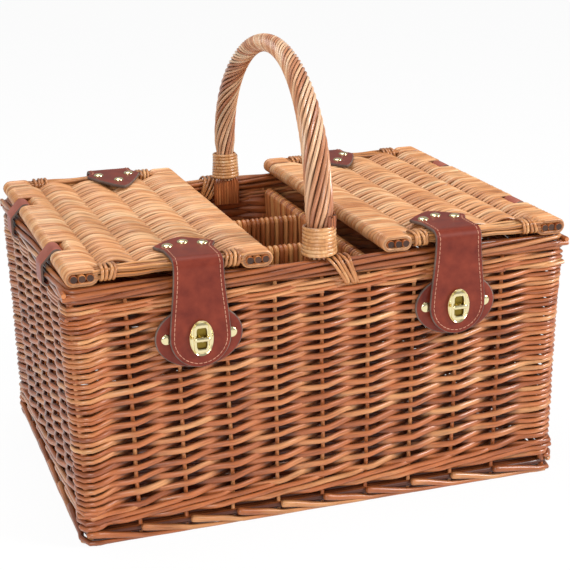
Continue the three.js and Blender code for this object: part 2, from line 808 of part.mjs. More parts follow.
function wallTab() {
  const oval = new THREE.Shape().absellipse(0, 0, tabWidth / 2, tabHeight / 2, 0, 2 * Math.PI);
  const heads = [-1, 1].map((side) => {
    return rivetHead(tabRivetDiameter).translate((side * tabRivetSpread) / 2, 0, tabLeather);
  });
  const tab = join(extrude(oval, tabLeather, 12), ...heads);
  return tab.rotateX(Math.PI / 2).translate(0, -tabFace, lockHeight);
}

// Assembly

const basket = new THREE.Group();

function add(group, name, geometry, finish) {
  const mesh = new THREE.Mesh(geometry, new THREE.MeshStandardMaterial(finishes[finish]));
  mesh.name = name;
  group.add(mesh);
}

// A group on one side of the basket: turned half round for the far side.
function turnedGroup(parent, turned, x = 0) {
  const group = new THREE.Group();
  group.position.x = x;
  group.rotation.z = turned ? Math.PI : 0;
  parent.add(group);
  return group;
}

const sides = [["front", false], ["rear", true]];
const ends = [["left", false], ["right", true]];

const loopNotch = loopLeather + 2 * fit;
const lashingNotch = lashingCane + caneFit + fit;
const lashingLength = (lashingTurns + 1) * (lashingCane + caneSpace) + lashingCane;
const notchReach = 4 * wallThickness;

sides.forEach(([side, turned]) => {
  const group = turnedGroup(basket, turned);
  const outer = -wallHalf(wallTop).width;
  const notch = box(lashingLength, notchReach, 2 * lashingNotch, lashingOffset, outer, wallTop);
  add(group, `wall_${side}`, cut(wovenWall(longWallOutline), notch), "body");
  const core = { halfU: rimDepth / 2, halfV: rimHeight / 2, bend: Math.min(rimDepth, rimHeight) / 4 };
  const lashing = winding(`rim lashing ${side}`, lashingCane, lashingTurns, core, plainCane);
  lashing.rotateY(Math.PI / 2).rotateX(Math.PI / 2);
  lashing.translate(lashingOffset, -rimWidth / 2 + rimDepth / 2, bodyHeight - rimHeight / 2);
  add(group, `rim_lashing_${side}`, lashing, "cane");
});

ends.forEach(([end, turned]) => {
  const group = turnedGroup(basket, turned);
  const notches = [-1, 1].map((side) => {
    const width = loopWidth + 2 * fit;
    const x = -wallHalf(wallTop).length;
    return box(notchReach, width, 2 * loopNotch, x, (side * loopSpacing) / 2, wallTop);
  });
  add(group, `wall_${end}`, cut(wovenWall(endWallOutline), ...notches), "body");
});

const rim = border(rimLength, rimWidth, rimCornerRadius, rimSection());
add(basket, "rim_border", rim, "body");
const foot = border(footLength, footWidth, footCornerRadius, footSection());
add(basket, "foot_border", foot, "body");

const baseHalfLength = footLength / 2 - footDepth - baseGap;
const baseHalfWidth = footWidth / 2 - footDepth - baseGap;
const baseWave = waveShape(-baseHalfLength, baseHalfLength, baseClearance + baseThickness / 2, baseThickness,
  baseWavePitch, baseWaveRelief);
add(basket, "base_panel", alongY(new THREE.Shape(baseWave), 2 * baseHalfWidth), "inside");

const floorTop = baseClearance + baseThickness + fit;
const insideHalfWidth = wallHalf(floorTop).width - wallThickness - fit;
ends.forEach(([end, turned]) => {
  const group = turnedGroup(basket, turned);
  const divider = uprightPanel(2 * insideHalfWidth, floorTop, bodyHeight - dividerTopGap);
  add(group, `divider_${end}`, divider.translate(-dividerSpacing / 2, 0, 0), "inside");
});
sides.forEach(([side, turned]) => {
  const group = turnedGroup(basket, turned);
  const length = dividerSpacing - dividerBead - 2 * fit;
  const panel = uprightPanel(length, floorTop, bodyHeight - crossTopGap).rotateZ(Math.PI / 2);
  add(group, `cross_panel_${side}`, panel.translate(0, -crossSpacing / 2, 0), "inside");
});

const bow = new THREE.Group();
bow.rotation.z = THREE.MathUtils.degToRad(handleYawDegrees);
basket.add(bow);
add(bow, "handle", join(twistedBow(), handleTongue(-1), handleTongue(1)), "lid");
sides.forEach(([side, turned]) => {
  const group = turnedGroup(bow, turned);
  const core = { halfU: handleCollarRadius, halfV: handleCollarRadius, bend: handleCollarRadius };
  const collar = winding(`handle collar ${side}`, collarCane, collarTurns, core, fineCane);
  collar.rotateZ(Math.PI).translate(0, -handleHalfSpan, handleFoot + collarLift + collarLength / 2);
  add(group, `handle_collar_${side}`, collar, "cane");
});

ends.forEach(([end, turned]) => {
  const lid = turnedGroup(basket, turned, turned ? lidOuter : -lidOuter);
  add(lid, `lid_${end}_panel`, lidPanel(), "lid");
  add(lid, `lid_${end}_outer_sticks`, hingeSticks(), "lid");
  add(lid, `lid_${end}_inner_sticks`, lidSticks(innerSticksStart), "lid");
  [-1, 1].forEach((near) => {
    const side = (near < 0) === turned ? "rear" : "front";
    add(lid, `lid_${end}_${side}_rods`, lidEdgeRods(near), "lid");
    [[-1, "outer"], [1, "inner"]].forEach(([where, label]) => {
      const name = `lid_${end}_binding_${side}_${label}`;
      add(lid, name, lidBinding(name, near, where), "cane");
    });
    const loop = hingeLoop().translate(0, (near * loopSpacing) / 2, 0);
    add(lid, `hinge_loop_${end}_${side}`, loop, "leather");
    const strap = turnedGroup(basket, side === "rear", turned ? strapX : -strapX);
    add(strap, `strap_top_${end}_${side}`, strapTop(strapEnds[side]), "leather");
    add(strap, `strap_flap_${end}_${side}`, strapFlap(), "leather");
    add(strap, `lock_plate_${end}_${side}`, lockPlate(), "brass");
    add(strap, `turn_button_${end}_${side}`, turnButton(), "brass");
    add(strap, `wall_tab_${end}_${side}`, wallTab(), "leather");
  });
});

export default basket;
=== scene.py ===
"""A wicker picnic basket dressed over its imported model: woven willow, wound cane, leather and brass."""

import json
import logging
from dataclasses import dataclass, field, fields
from enum import Enum
from typing import Sequence

import bpy
import numpy as np
from mathutils import Matrix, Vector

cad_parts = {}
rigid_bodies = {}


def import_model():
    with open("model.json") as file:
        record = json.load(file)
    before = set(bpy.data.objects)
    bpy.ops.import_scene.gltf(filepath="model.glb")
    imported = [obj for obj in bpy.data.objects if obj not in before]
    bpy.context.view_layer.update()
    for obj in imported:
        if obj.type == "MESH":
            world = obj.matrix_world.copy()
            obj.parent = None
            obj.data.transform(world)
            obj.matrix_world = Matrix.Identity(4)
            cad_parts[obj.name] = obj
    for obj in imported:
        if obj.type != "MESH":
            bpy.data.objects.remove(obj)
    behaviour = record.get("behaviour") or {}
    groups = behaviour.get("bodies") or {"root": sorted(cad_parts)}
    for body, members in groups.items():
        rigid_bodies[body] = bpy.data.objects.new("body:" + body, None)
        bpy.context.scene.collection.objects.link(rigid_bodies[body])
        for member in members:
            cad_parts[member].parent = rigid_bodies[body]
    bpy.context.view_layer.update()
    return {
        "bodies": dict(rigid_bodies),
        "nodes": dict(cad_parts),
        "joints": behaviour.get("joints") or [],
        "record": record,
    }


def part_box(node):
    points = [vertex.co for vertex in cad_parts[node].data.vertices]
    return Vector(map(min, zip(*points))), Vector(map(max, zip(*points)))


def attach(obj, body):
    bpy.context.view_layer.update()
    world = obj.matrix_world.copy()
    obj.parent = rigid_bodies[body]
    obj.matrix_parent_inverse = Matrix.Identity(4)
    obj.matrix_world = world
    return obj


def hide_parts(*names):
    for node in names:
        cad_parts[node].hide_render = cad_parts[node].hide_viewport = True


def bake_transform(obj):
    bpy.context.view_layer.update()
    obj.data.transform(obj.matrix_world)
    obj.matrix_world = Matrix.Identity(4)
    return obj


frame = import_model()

LOG = logging.getLogger("basket")
MM = 0.001
TAU = 2 * np.pi
UP = np.array([0.0, 0.0, 1.0])
SEED = 20
Array = np.ndarray


class Slot(Enum):
    """The record's material slots."""

    BODY = "stained_willow"
    INSIDE = "inner_willow"
    LID = "lid_willow"
    CANE = "pale_cane"
    LEATHER = "leather"
    BRASS = "brass"


class Where(Enum):
    """A named part of the basket, whose value is a sign."""

    @property
    def word(self) -> str:
        """The name as the nodes spell it."""
        return self.name.lower()


class Side(Where):
    """A long side of the basket, with the sign of its Y."""

    FRONT = -1
    REAR = 1


class End(Where):
    """A short end of the basket, with the sign of its X."""

    LEFT = -1
    RIGHT = 1


# Small helpers on whole arrays


def unit(vectors: Array) -> Array:
    """Vectors divided by their own lengths."""
    return vectors / np.linalg.norm(vectors, axis=-1, keepdims=True)


def box_of(node: str) -> tuple[Array, Array]:
    """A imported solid's least and greatest corners."""
    low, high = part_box(node)
    return np.array(low), np.array(high)


def xyz(x: Array | float, y: Array | float, z: Array | float) -> Array:
    """Points from their coordinates, each of them spread over the others' shape."""
    return np.stack(np.broadcast_arrays(x, y, z), -1)


def walked_along(line: Array) -> Array:
    """The distance walked along a line to each of its points."""
    return np.concatenate([[0], np.cumsum(np.linalg.norm(np.diff(line, axis=0), axis=1))])


def rounded(wave: Array, power: float) -> Array:
    """A wave's size raised to a power, with its sign kept: a power below 1 makes a circle squarer."""
    return np.sign(wave) * np.abs(wave) ** power


def from_middle(loops: Array, axis: int) -> Array:
    """Unit directions from each loop's middle to its points, square to an axis.

    Args:
        loops: An array of loops by points by 3.
        axis: The axis's number.

    Returns:
        The directions.
    """
    spread = loops - loops.mean(axis=1, keepdims=True)
    spread[..., axis] = 0
    return unit(spread)


def numbered(count: int) -> Array:
    """Numbers one apart about 0, as a column."""
    return (np.arange(count) - (count - 1) / 2)[:, None]


def smooth(value: Array, start: float, end: float) -> Array:
    """The S-curve 3 s^2 - 2 s^3 of a value's share s between start and end.

    Args:
        value: The values.
        start: Where the curve is 0.
        end: Where the curve is 1.

    Returns:
        The curve's height at each value.
    """
    share = np.clip((value - start) / (end - start), 0, 1)
    return share * share * (3 - 2 * share)


def ripple(
    rng: np.random.Generator, rows: int, steps: Array, waves: Sequence[float] = (0.23, 0.51, 1.13),
) -> Array:
    """A slow wander: for each row, the mean of sines of several wave numbers with phases of its own.

    Args:
        rng: The source of the phases.
        rows: How many rows to make.
        steps: Where along a row the wander is read.
        waves: The wave numbers, in turns per step.

    Returns:
        An array of rows by steps, within 1 either way.
    """
    phases = rng.random((len(waves), rows, 1)) * TAU
    turns = np.array(waves)[:, None, None] * np.asarray(steps)[None, None, :]
    return np.sin(TAU * turns + phases).mean(axis=0)


def linear(code: str) -> tuple[float, float, float, float]:
    """A colour written as six hexadecimal digits, as linear red, green, blue and 1.

    Args:
        code: The six digits.

    Returns:
        The colour.
    """
    share = np.array([int(code[i : i + 2], 16) for i in (0, 2, 4)]) / 255
    value = np.where(share <= 0.04045, share / 12.92, ((share + 0.055) / 1.055) ** 2.4)
    return (float(value[0]), float(value[1]), float(value[2]), 1.0)


@dataclass
class Surface:
    """A mesh as whole arrays.

    points are the vertices, corners the vertex of each face corner, sizes the corners of each face, uv a
    place for each corner (metres along a rod and turns round it), tone a shade for each vertex, zone a finish
    for each face, recess how much painted shade a vertex takes where it lies back in the weave or between
    rods, from 0 to 1.
    """

    points: Array
    corners: Array
    sizes: Array
    uv: Array
    tone: Array
    zone: Array
    recess: Array

    @staticmethod
    def joined(parts: Sequence["Surface"]) -> "Surface":
        """Several surfaces as one.

        Args:
            parts: The surfaces.

        Returns:
            The whole.
        """
        starts = np.cumsum([0] + [len(part.points) for part in parts[:-1]])
        whole = {
            column.name: np.concatenate([getattr(part, column.name) for part in parts])
            for column in fields(Surface)
        }
        whole["corners"] = np.concatenate([part.corners + start for part, start in zip(parts, starts)])
        return Surface(**whole)

    def piece(
        self, name: str, finishes: Sequence[bpy.types.Material], crease: float = 50.0,
    ) -> bpy.types.Object:
        """Puts the arrays into a mesh object at the origin.

        Args:
            name: The piece's name.
            finishes: The materials that the zones number.
            crease: The angle in degrees past which an edge is sharp.

        Returns:
            The new object.
        """
        mesh = bpy.data.meshes.new(name)
        mesh.vertices.add(len(self.points))
        mesh.vertices.foreach_set("co", self.points.astype(np.float32).ravel())
        mesh.loops.add(len(self.corners))
        mesh.loops.foreach_set("vertex_index", self.corners.astype(np.int32))
        mesh.polygons.add(len(self.sizes))
        starts = np.concatenate([[0], np.cumsum(self.sizes)[:-1]])
        mesh.polygons.foreach_set("loop_start", starts.astype(np.int32))
        mesh.polygons.foreach_set("material_index", self.zone.astype(np.int32))
        mesh.update(calc_edges=True)
        mesh.uv_layers.new(name="UVMap").data.foreach_set("uv", self.uv.astype(np.float32).ravel())
        # recess holds the painted shade that the willow finishes darken by.
        for word, values in (("tone", self.tone), ("recess", self.recess)):
            mesh.attributes.new(word, "FLOAT", "POINT").data.foreach_set("value", values.astype(np.float32))
        mesh.validate()
        mesh.polygons.foreach_set("use_smooth", np.ones(len(mesh.polygons), bool))
        mesh.set_sharp_from_angle(angle=np.radians(crease))
        for finish in finishes:
            mesh.materials.append(finish)
        made = bpy.data.objects.new(name, mesh)
        bpy.context.scene.collection.objects.link(made)
        return made


def grids(
    points: Array, close_rows: bool = False, close_columns: bool = False, caps: bool = False,
    tone: Array | float = 0.5, zone: Array | int = 0, cap_zone: int | None = None,
) -> Surface:
    """Skins grids of points with four-cornered faces, row i to row i + 1 and column j to column j + 1.

    Args:
        points: An array of grids by rows by columns by 3.
        close_rows: Whether the last row joins the first.
        close_columns: Whether the last column joins the first.
        caps: Whether the first and last rows are closed by a face each.
        tone: One shade, or a shade for each grid, or for each grid's rows.
        zone: One finish, or a finish for each column.
        cap_zone: The caps' finish, or None for the columns' own.

    Returns:
        The skin of all the grids, facing out where columns run to the left round the row's direction.
    """
    count, rows, columns, _ = points.shape
    row_spans = rows if close_rows else rows - 1
    column_spans = columns if close_columns else columns - 1
    spans = np.meshgrid(np.arange(row_spans), np.arange(column_spans), indexing="ij")
    i, j = (axis.ravel() for axis in spans)
    below, beside = (i + 1) % rows, (j + 1) % columns
    quad = np.stack([i * columns + j, i * columns + beside, below * columns + beside, below * columns + j], 1)
    offset = np.arange(count)[:, None, None] * rows * columns
    corners = [(quad[None] + offset).ravel()]
    sizes = [np.full(count * len(quad), 4)]
    middle = points.mean(axis=2)
    step = np.linalg.norm(np.roll(middle, -1, axis=1) - middle, axis=-1)
    along = np.concatenate([np.zeros((count, 1)), np.cumsum(step, axis=1)], axis=1)
    u = np.stack([along[:, i], along[:, i], along[:, i + 1], along[:, i + 1]], 2)
    v = np.broadcast_to(np.stack([j, j + 1, j + 1, j], 1)[None] / columns, u.shape)
    uv = [np.stack([u, v], -1).reshape(-1, 2)]
    zones = [np.tile(np.broadcast_to(zone, (columns,))[j], count)]
    if caps:
        ends = np.stack([np.arange(columns)[::-1], (rows - 1) * columns + np.arange(columns)])
        corners.append((ends[None] + offset).ravel())
        sizes.append(np.full(2 * count, columns))
        turn = TAU * np.arange(columns) / columns
        disc = np.stack([np.cos(turn), np.sin(turn)], -1) * MM
        uv.append(np.tile(disc, (2 * count, 1)))
        zones.append(np.full(2 * count, np.max(zone) if cap_zone is None else cap_zone))
    shade = np.asarray(tone, float)
    shade = shade.reshape(shade.shape + (1,) * (3 - shade.ndim))
    return Surface(
        points.reshape(-1, 3),
        np.concatenate(corners),
        np.concatenate(sizes),
        np.concatenate(uv),
        np.broadcast_to(shade, (count, rows, columns)).ravel(),
        np.concatenate(zones),
        np.zeros(count * rows * columns),
    )


def tubes(
    paths: Array, outward: Array, width: Array | float, depth: Array | float | None = None, sides: int = 8,
    closed: bool = False, tone: Array | float = 0.5, zone: Array | int = 0, squareness: float = 1.0,
    cap_zone: int | None = None, behind: Array | float = 0.0, groove: float = 0.0,
) -> Surface:
    """Carries a rounded section along each path: centre + depth cos a N + width sin a B, N square to it.

    Args:
        paths: An array of paths by steps by 3.
        outward: The direction that N leans to, for each step or for all.
        width: The section's half-width along B, beside the path.
        depth: The section's half-depth along N, or None for a round section.
        sides: How many points the section has.
        closed: Whether each path is a loop.
        tone: A shade, as in grids.
        zone: A finish, as in grids.
        squareness: The power of cos a and sin a: 1 for an ellipse, less for a squarer section.
        cap_zone: The finish of the trimmed ends, as in grids.
        behind: How far back each step lies in the weave, which paints shade on the side that N faces.
        groove: How much shade is painted on the sides, between a rod and its neighbours.

    Returns:
        The skins of the tubes, capped unless they are loops.
    """
    tangent = np.roll(paths, -1, 1) - np.roll(paths, 1, 1) if closed else np.gradient(paths, axis=1)
    tangent = unit(tangent)
    outward = np.broadcast_to(outward, paths.shape)
    normal = unit(outward - tangent * (outward * tangent).sum(-1, keepdims=True))
    beside = np.cross(tangent, normal)
    width = np.broadcast_to(width, paths.shape[:2])[..., None, None]
    depth = width if depth is None else np.broadcast_to(depth, paths.shape[:2])[..., None, None]
    angle = np.pi + TAU * np.arange(sides) / sides
    cosine, sine = (rounded(wave, squareness) for wave in (np.cos(angle), np.sin(angle)))
    ring = paths[:, :, None, :] + cosine[:, None] * depth * normal[:, :, None, :]
    ring = ring + sine[:, None] * width * beside[:, :, None, :]
    skin = grids(ring, closed, True, not closed, tone, zone, cap_zone)
    # Painted shade: the back of a step that lies behind in the weave, and a rod's sides next to its
    # neighbours, darken by recess.
    back = np.broadcast_to(behind, paths.shape[:2])[..., None] * np.clip(cosine + 0.4, 0, 1)
    skin.recess = np.maximum(back, groove * np.clip(1 - 1.4 * np.abs(cosine), 0, 1)).ravel()
    return skin


def turned(profile: Array, centres: Array, axis: Array, sides: int = 16, zone: int = 0) -> Surface:
    """Turns a profile round an axis at each centre: centre + r (cos a P + sin a Q) + h axis.

    Args:
        profile: Rows of radius and height, from the lower end to the upper.
        centres: The places of the turned pieces.
        axis: The direction of height.
        sides: How many points a ring has.
        zone: The finish.

    Returns:
        The skins, closed by a small face at each end.
    """
    axis = unit(np.asarray(axis, float))
    first = unit(np.cross(axis, [0.3, 0.5, 0.8]))
    second = np.cross(axis, first)
    angle = TAU * np.arange(sides) / sides
    ring = np.cos(angle)[:, None] * first + np.sin(angle)[:, None] * second
    rows = profile[:, 0, None, None] * ring + profile[:, 1, None, None] * axis
    return grids(np.asarray(centres, float)[:, None, None, :] + rows, False, True, True, 0.5, zone)


def place(piece: bpy.types.Object, body: str, slot: Slot, *nodes: str, blended: bool = False) -> None:
    """Lets a finished piece ride on a body, unless it is left unattached, and stand for nodes, and logs it.

    Args:
        piece: The finished piece.
        body: The body that carries it, or words for both bodies that an unattached piece spans.
        slot: The slot that its finish belongs to; not used.
        nodes: The solids that it stands for.
        blended: Whether to leave it unattached, for a piece that spans two bodies.
    """
    if not blended:
        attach(piece, body)
    if nodes:
        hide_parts(*nodes)
    LOG.info("%s on %s: %d faces", piece.name, body, len(piece.data.polygons))


# Finishes


class NodeSheet:
    """The node tree of a material or of the world, filled by short calls."""

    def __init__(self, owner: bpy.types.Material | bpy.types.World) -> None:
        """Turns the owner's nodes on, and finds a material's shader.

        Args:
            owner: The material or the world.
        """
        owner.use_nodes = True
        self.owner = owner
        self.tree = owner.node_tree
        self.shader = self.tree.nodes.get("Principled BSDF")

    def add(self, kind: str, inputs: dict | None = None, **settings: object) -> bpy.types.Node:
        """Adds a node.

        Args:
            kind: The node's type, without its ShaderNode prefix.
            inputs: Socket values, or sockets to link from, by the socket's name or number.
            settings: The node's own properties.

        Returns:
            The new node.
        """
        node = self.tree.nodes.new("ShaderNode" + kind)
        for key, value in settings.items():
            setattr(node, key, value)
        for key, value in (inputs or {}).items():
            self.feed(node, key, value)
        return node

    def feed(self, node: bpy.types.Node, key: str | int, value: object) -> None:
        """Sets a node's input to a value, or links it from another node's socket.

        Args:
            node: The node.
            key: The input's name or number.
            value: The value or socket.
        """
        if isinstance(value, bpy.types.NodeSocket):
            self.tree.links.new(value, node.inputs[key])
        else:
            node.inputs[key].default_value = value

    def finish(self, inputs: dict) -> bpy.types.Material:
        """Feeds the shader, with inputs as in add, and gives the material.

        Args:
            inputs: Values or sockets by the shader's input.

        Returns:
            The material.
        """
        for key, value in inputs.items():
            self.feed(self.shader, key, value)
        return self.owner

    def relief(self, height: bpy.types.NodeSocket, strength: float, depth: float) -> bpy.types.NodeSocket:
        """A bump's output, from its height, its strength and its depth in metres."""
        return self.add("Bump", {"Height": height, "Strength": strength, "Distance": depth}).outputs["Normal"]

    def ramp(
        self, factor: bpy.types.NodeSocket, stops: Sequence[tuple[float, tuple]],
    ) -> bpy.types.NodeSocket:
        """A colour ramp's output.

        Args:
            factor: What drives the ramp.
            stops: Each stop's place and colour.

        Returns:
            The colour socket.
        """
        node = self.add("ValToRGB", {"Fac": factor})
        elements = node.color_ramp.elements
        while len(elements) < len(stops):
            elements.new(0.5)
        for element, (place_on, colour) in zip(elements, stops):
            element.position = place_on
            element.color = colour
        return node.outputs["Color"]

    def scale(self, source: bpy.types.NodeSocket, low: float, high: float) -> bpy.types.NodeSocket:
        """Maps a value from 0 to 1 onto low to high."""
        node = self.add("MapRange", {"Value": source, "To Min": low, "To Max": high})
        return node.outputs["Result"]


@dataclass(frozen=True)
class Willow:
    """Stained, varnished rods: a shade for each rod, patches along it, fine dark streaks and a thin gloss.

    The colour runs from deep through middle to pale by the rod's tone and a slow noise along it; streaks and
    painted shade (the recess attribute, where a rod lies back or meets its neighbours) darken it.
    """

    name: str
    deep: str
    middle: str
    pale: str
    roughness: tuple[float, float] = (0.3, 0.5)
    coat: float = 0.2
    tone_share: float = 0.55
    streak: float = 0.62
    settled: str = "6a4a3c"

    def material(self) -> bpy.types.Material:
        """Builds the material.

        Returns:
            The material.
        """
        sheet = NodeSheet(bpy.data.materials.new(self.name))
        uv = sheet.add("UVMap", uv_map="UVMap").outputs["UV"]
        tone = sheet.add("Attribute", attribute_name="tone").outputs["Fac"]
        split = sheet.add("SeparateXYZ", {"Vector": uv})
        shift = sheet.add("Math", {0: tone, 1: 61.0}, operation="MULTIPLY").outputs[0]
        rod_place = {"X": split.outputs["X"], "Y": split.outputs["Y"], "Z": shift}
        spread = sheet.add("CombineXYZ", rod_place).outputs[0]
        fine = sheet.add("Mapping", {"Vector": spread, "Scale": (45.0, 7.0, 1.0)}).outputs[0]
        slow = sheet.add("Mapping", {"Vector": spread, "Scale": (16.0, 0.8, 1.0)}).outputs[0]
        streaks = sheet.add("TexNoise", {"Vector": fine, "Scale": 1.0, "Detail": 4.0, "Roughness": 0.6})
        patches = sheet.add("TexNoise", {"Vector": slow, "Scale": 1.0, "Detail": 2.0})
        by_tone = sheet.scale(tone, 0.0, self.tone_share)
        by_patch = sheet.scale(patches.outputs["Fac"], -0.1, 1.1 - self.tone_share)
        shade = sheet.add("Math", {0: by_tone, 1: by_patch}, operation="ADD").outputs[0]
        stops = zip((0.12, 0.5, 0.88), (self.deep, self.middle, self.pale))
        stain = sheet.ramp(shade, [(stop, linear(code)) for stop, code in stops])
        grain = sheet.ramp(streaks.outputs["Fac"], [(0.3, (self.streak,) * 3 + (1.0,)), (0.55, (1.0,) * 4)])
        mixed = sheet.add("Mix", {6: stain, 7: grain, "Factor": 1.0}, data_type="RGBA", blend_type="MULTIPLY")
        # Painted shade: the recess attribute darkens the colour towards a dark shade colour, in the weave's
        # recesses and between rods.
        recess = sheet.add("Attribute", attribute_name="recess").outputs["Fac"]
        settled = sheet.ramp(recess, [(0.0, (1.0,) * 4), (1.0, linear(self.settled))])
        stain_and_shade = sheet.add("Mix", {6: mixed.outputs[2], 7: settled, "Factor": 1.0}, data_type="RGBA",
                            blend_type="MULTIPLY")
        return sheet.finish({
            "Base Color": stain_and_shade.outputs[2],
            "Roughness": sheet.scale(streaks.outputs["Fac"], *self.roughness),
            "Normal": sheet.relief(streaks.outputs["Fac"], 0.35, 0.4 * MM),
            "Coat Weight": self.coat,
            "Coat Roughness": 0.25,
        })


@dataclass(frozen=True)
class Leather:
    """Smooth dyed hide: mottled colour, fine cells in relief, a soft polish."""

    name: str
    deep: str
    pale: str
    roughness: tuple[float, float] = (0.36, 0.5)
    cells: float = 900.0
    relief: float = 0.12

    def material(self) -> bpy.types.Material:
        """Builds the material.

        Returns:
            The material.
        """
        sheet = NodeSheet(bpy.data.materials.new(self.name))
        place_in = sheet.add("TexCoord").outputs["Object"]
        mottle = sheet.add("TexNoise", {"Vector": place_in, "Scale": 60.0, "Detail": 5.0, "Roughness": 0.6})
        cells = sheet.add("TexVoronoi", {"Vector": place_in, "Scale": self.cells})
        colour = sheet.ramp(mottle.outputs["Fac"], [(0.3, linear(self.deep)), (0.7, linear(self.pale))])
        return sheet.finish({
            "Base Color": colour,
            "Roughness": sheet.scale(mottle.outputs["Fac"], *self.roughness),
            "Specular IOR Level": 0.3,
            "Normal": sheet.relief(cells.outputs["Distance"], self.relief, 0.2 * MM),
        })


@dataclass(frozen=True)
class Metal:
    """Polished plate with faint cloudy handling marks."""

    name: str
    colour: str
    roughness: tuple[float, float] = (0.1, 0.28)

    def material(self) -> bpy.types.Material:
        """Builds the material.

        Returns:
            The material.
        """
        sheet = NodeSheet(bpy.data.materials.new(self.name))
        place_in = sheet.add("TexCoord").outputs["Object"]
        marks = sheet.add("TexNoise", {"Vector": place_in, "Scale": 220.0, "Detail": 4.0})
        return sheet.finish({
            "Base Color": linear(self.colour),
            "Metallic": 1.0,
            "Roughness": sheet.scale(marks.outputs["Fac"], *self.roughness),
        })


class Finishes:
    """Every material of the basket, made once."""

    def __init__(self) -> None:
        """Builds the materials."""
        satin, gloss, rough = (0.26, 0.44), (0.22, 0.4), (0.6, 0.8)
        # A willow's last colour, where given, is its painted shade in the weave's recesses and between rods.
        body = Willow("stained_willow", "84401e", "b8693a", "dca36c", satin, 0.3, 0.3, settled="523528")
        self.body = body.material()
        self.border = Willow("border_willow", "7c3a19", "b06434", "dca46c", satin, 0.3, 0.45).material()
        self.lid = Willow("lid_willow", "b06c3a", "d69864", "eabf90", (0.34, 0.52), 0.15, 0.4).material()
        self.edge = Willow("edge_willow", "9c5a2c", "c98549", "e6b47e", (0.34, 0.52), 0.15, 0.4).material()
        self.handle = Willow("handle_willow", "b06c48", "d9a076", "f0cfaa", (0.25, 0.42), 0.3).material()
        self.cane = Willow("pale_cane", "a2673c", "d2965f", "eac594", gloss, 0.3, 0.35, 0.8).material()
        self.lashing = Willow("lashing_cane", "8f5228", "be7d48", "dca66e", gloss, 0.3, 0.35, 0.8).material()
        self.inside = Willow("inner_willow", "8a4522", "c57842", "e2a566", settled="7a4a32").material()
        self.cut_end = Willow("cut_ends", "2a150b", "4a2a17", "6b4227", rough, 0.0).material()
        self.leather = Leather("leather", "601c0f", "80311d").material()
        # The hinge loops' leather is a lighter copy of the strap leather: a painted highlight for the light
        # they catch.
        self.loop_leather = Leather("loop_leather", "8c4534", "ac6250").material()
        self.raw_edge = Leather("leather_edge", "58463f", "7c6a60", rough, 500.0, 0.3).material()
        self.thread = Leather("stitch_thread", "b0735a", "cf9a80", rough, 2000.0, 0.4).material()
        self.brass = Metal("brass", "f2e4b4").material()
        self.dark_brass = Metal("brass_well", "8a7430", (0.25, 0.45)).material()


# The walls


@dataclass
class Woven:
    """What every woven part has: the finishes and the source of its chances."""

    finishes: Finishes
    rng: np.random.Generator


@dataclass
class Ring:
    """The line of a rectangle with round corners, walked from the middle of the left front corner.

    Its point is the corner's centre, which slides along the straights, plus the corner radius along the
    outward direction, which turns only in the corners. Both are straight-line functions of the distance.
    """

    half: Array
    corner: float

    def __post_init__(self) -> None:
        """Works out where the straights and arcs begin."""
        straight = 2 * (self.half - self.corner)
        arc = self.corner * np.pi / 2
        runs = [arc / 2, straight[0], arc, straight[1], arc, straight[0], arc, straight[1], arc / 2]
        self.knots = np.concatenate([[0.0], np.cumsum(runs)])
        x_signs = [-1, -1, 1, 1, 1, 1, -1, -1, -1, -1]
        y_signs = [-1, -1, -1, -1, 1, 1, 1, 1, -1, -1]
        self.signs = np.array([x_signs, y_signs], float)
        self.angles = np.radians([-135, -90, -90, 0, 0, 90, 90, 180, 180, 225])

    @property
    def length(self) -> float:
        """The whole way round."""
        return float(self.knots[-1])

    def at(self, walked: Array, half: Array | None = None) -> tuple[Array, Array]:
        """Points and outward directions at distances walked.

        Args:
            walked: The distances.
            half: Half sizes to use in place of the ring's own, for a wall that leans.

        Returns:
            Points with Z of 0, and unit directions.
        """
        half = self.half if half is None else half
        angle = np.interp(walked, self.knots, self.angles)
        outward = xyz(np.cos(angle), np.sin(angle), 0.0)
        signs = np.stack([np.interp(walked, self.knots, row) for row in self.signs], -1)
        point = outward * self.corner
        point[..., :2] += signs * (half - self.corner)
        return point, outward


@dataclass
class WallLine:
    """The stakes' line, which leans out from foot to rim, counted in stakes from the left front post."""

    foot_half: Array
    rim_half: Array
    height: float
    inset: float = 7.6 * MM
    corner: float = 3 * MM
    long_first: float = -182 * MM
    long_spacing: float = 44.25 * MM
    long_stakes: int = 9
    short_spacing: float = 52 * MM
    short_stakes: int = 5

    def __post_init__(self) -> None:
        """Places the corner posts and the stakes on the line at mid height."""
        self.ring = Ring(self.half(self.height / 2), self.corner)
        knots, half = self.ring.knots, self.ring.half - self.corner
        long = self.long_first + self.long_spacing * np.arange(self.long_stakes)
        short = self.short_spacing * (np.arange(self.short_stakes) - (self.short_stakes - 1) / 2)
        posts = [0.0, *((knots[k] + knots[k + 1]) / 2 for k in (2, 4, 6)), knots[9]]
        long_run, short_run = long + half[0], short + half[1]
        runs = [knots[1] + long_run, knots[3] + short_run, knots[5] + long_run, knots[7] + short_run]
        self.stakes = np.sort(np.concatenate([posts, *runs]))
        self.count = len(self.stakes) - 1

    def half(self, z: Array | float) -> Array:
        """The line's half sizes at a height."""
        share = np.asarray(z, float)[..., None] / self.height
        return self.foot_half + (self.rim_half - self.foot_half) * share - self.inset

    def at(self, stake: Array, z: Array) -> tuple[Array, Array]:
        """Points and outward directions at places counted in stakes and heights.

        Args:
            stake: Places counted in stakes.
            z: Heights.

        Returns:
            Points, and unit directions.
        """
        walked = np.interp(np.mod(stake, self.count), np.arange(self.count + 1), self.stakes)
        point, outward = self.ring.at(walked, self.half(z))
        point[..., 2] = z
        return point, outward


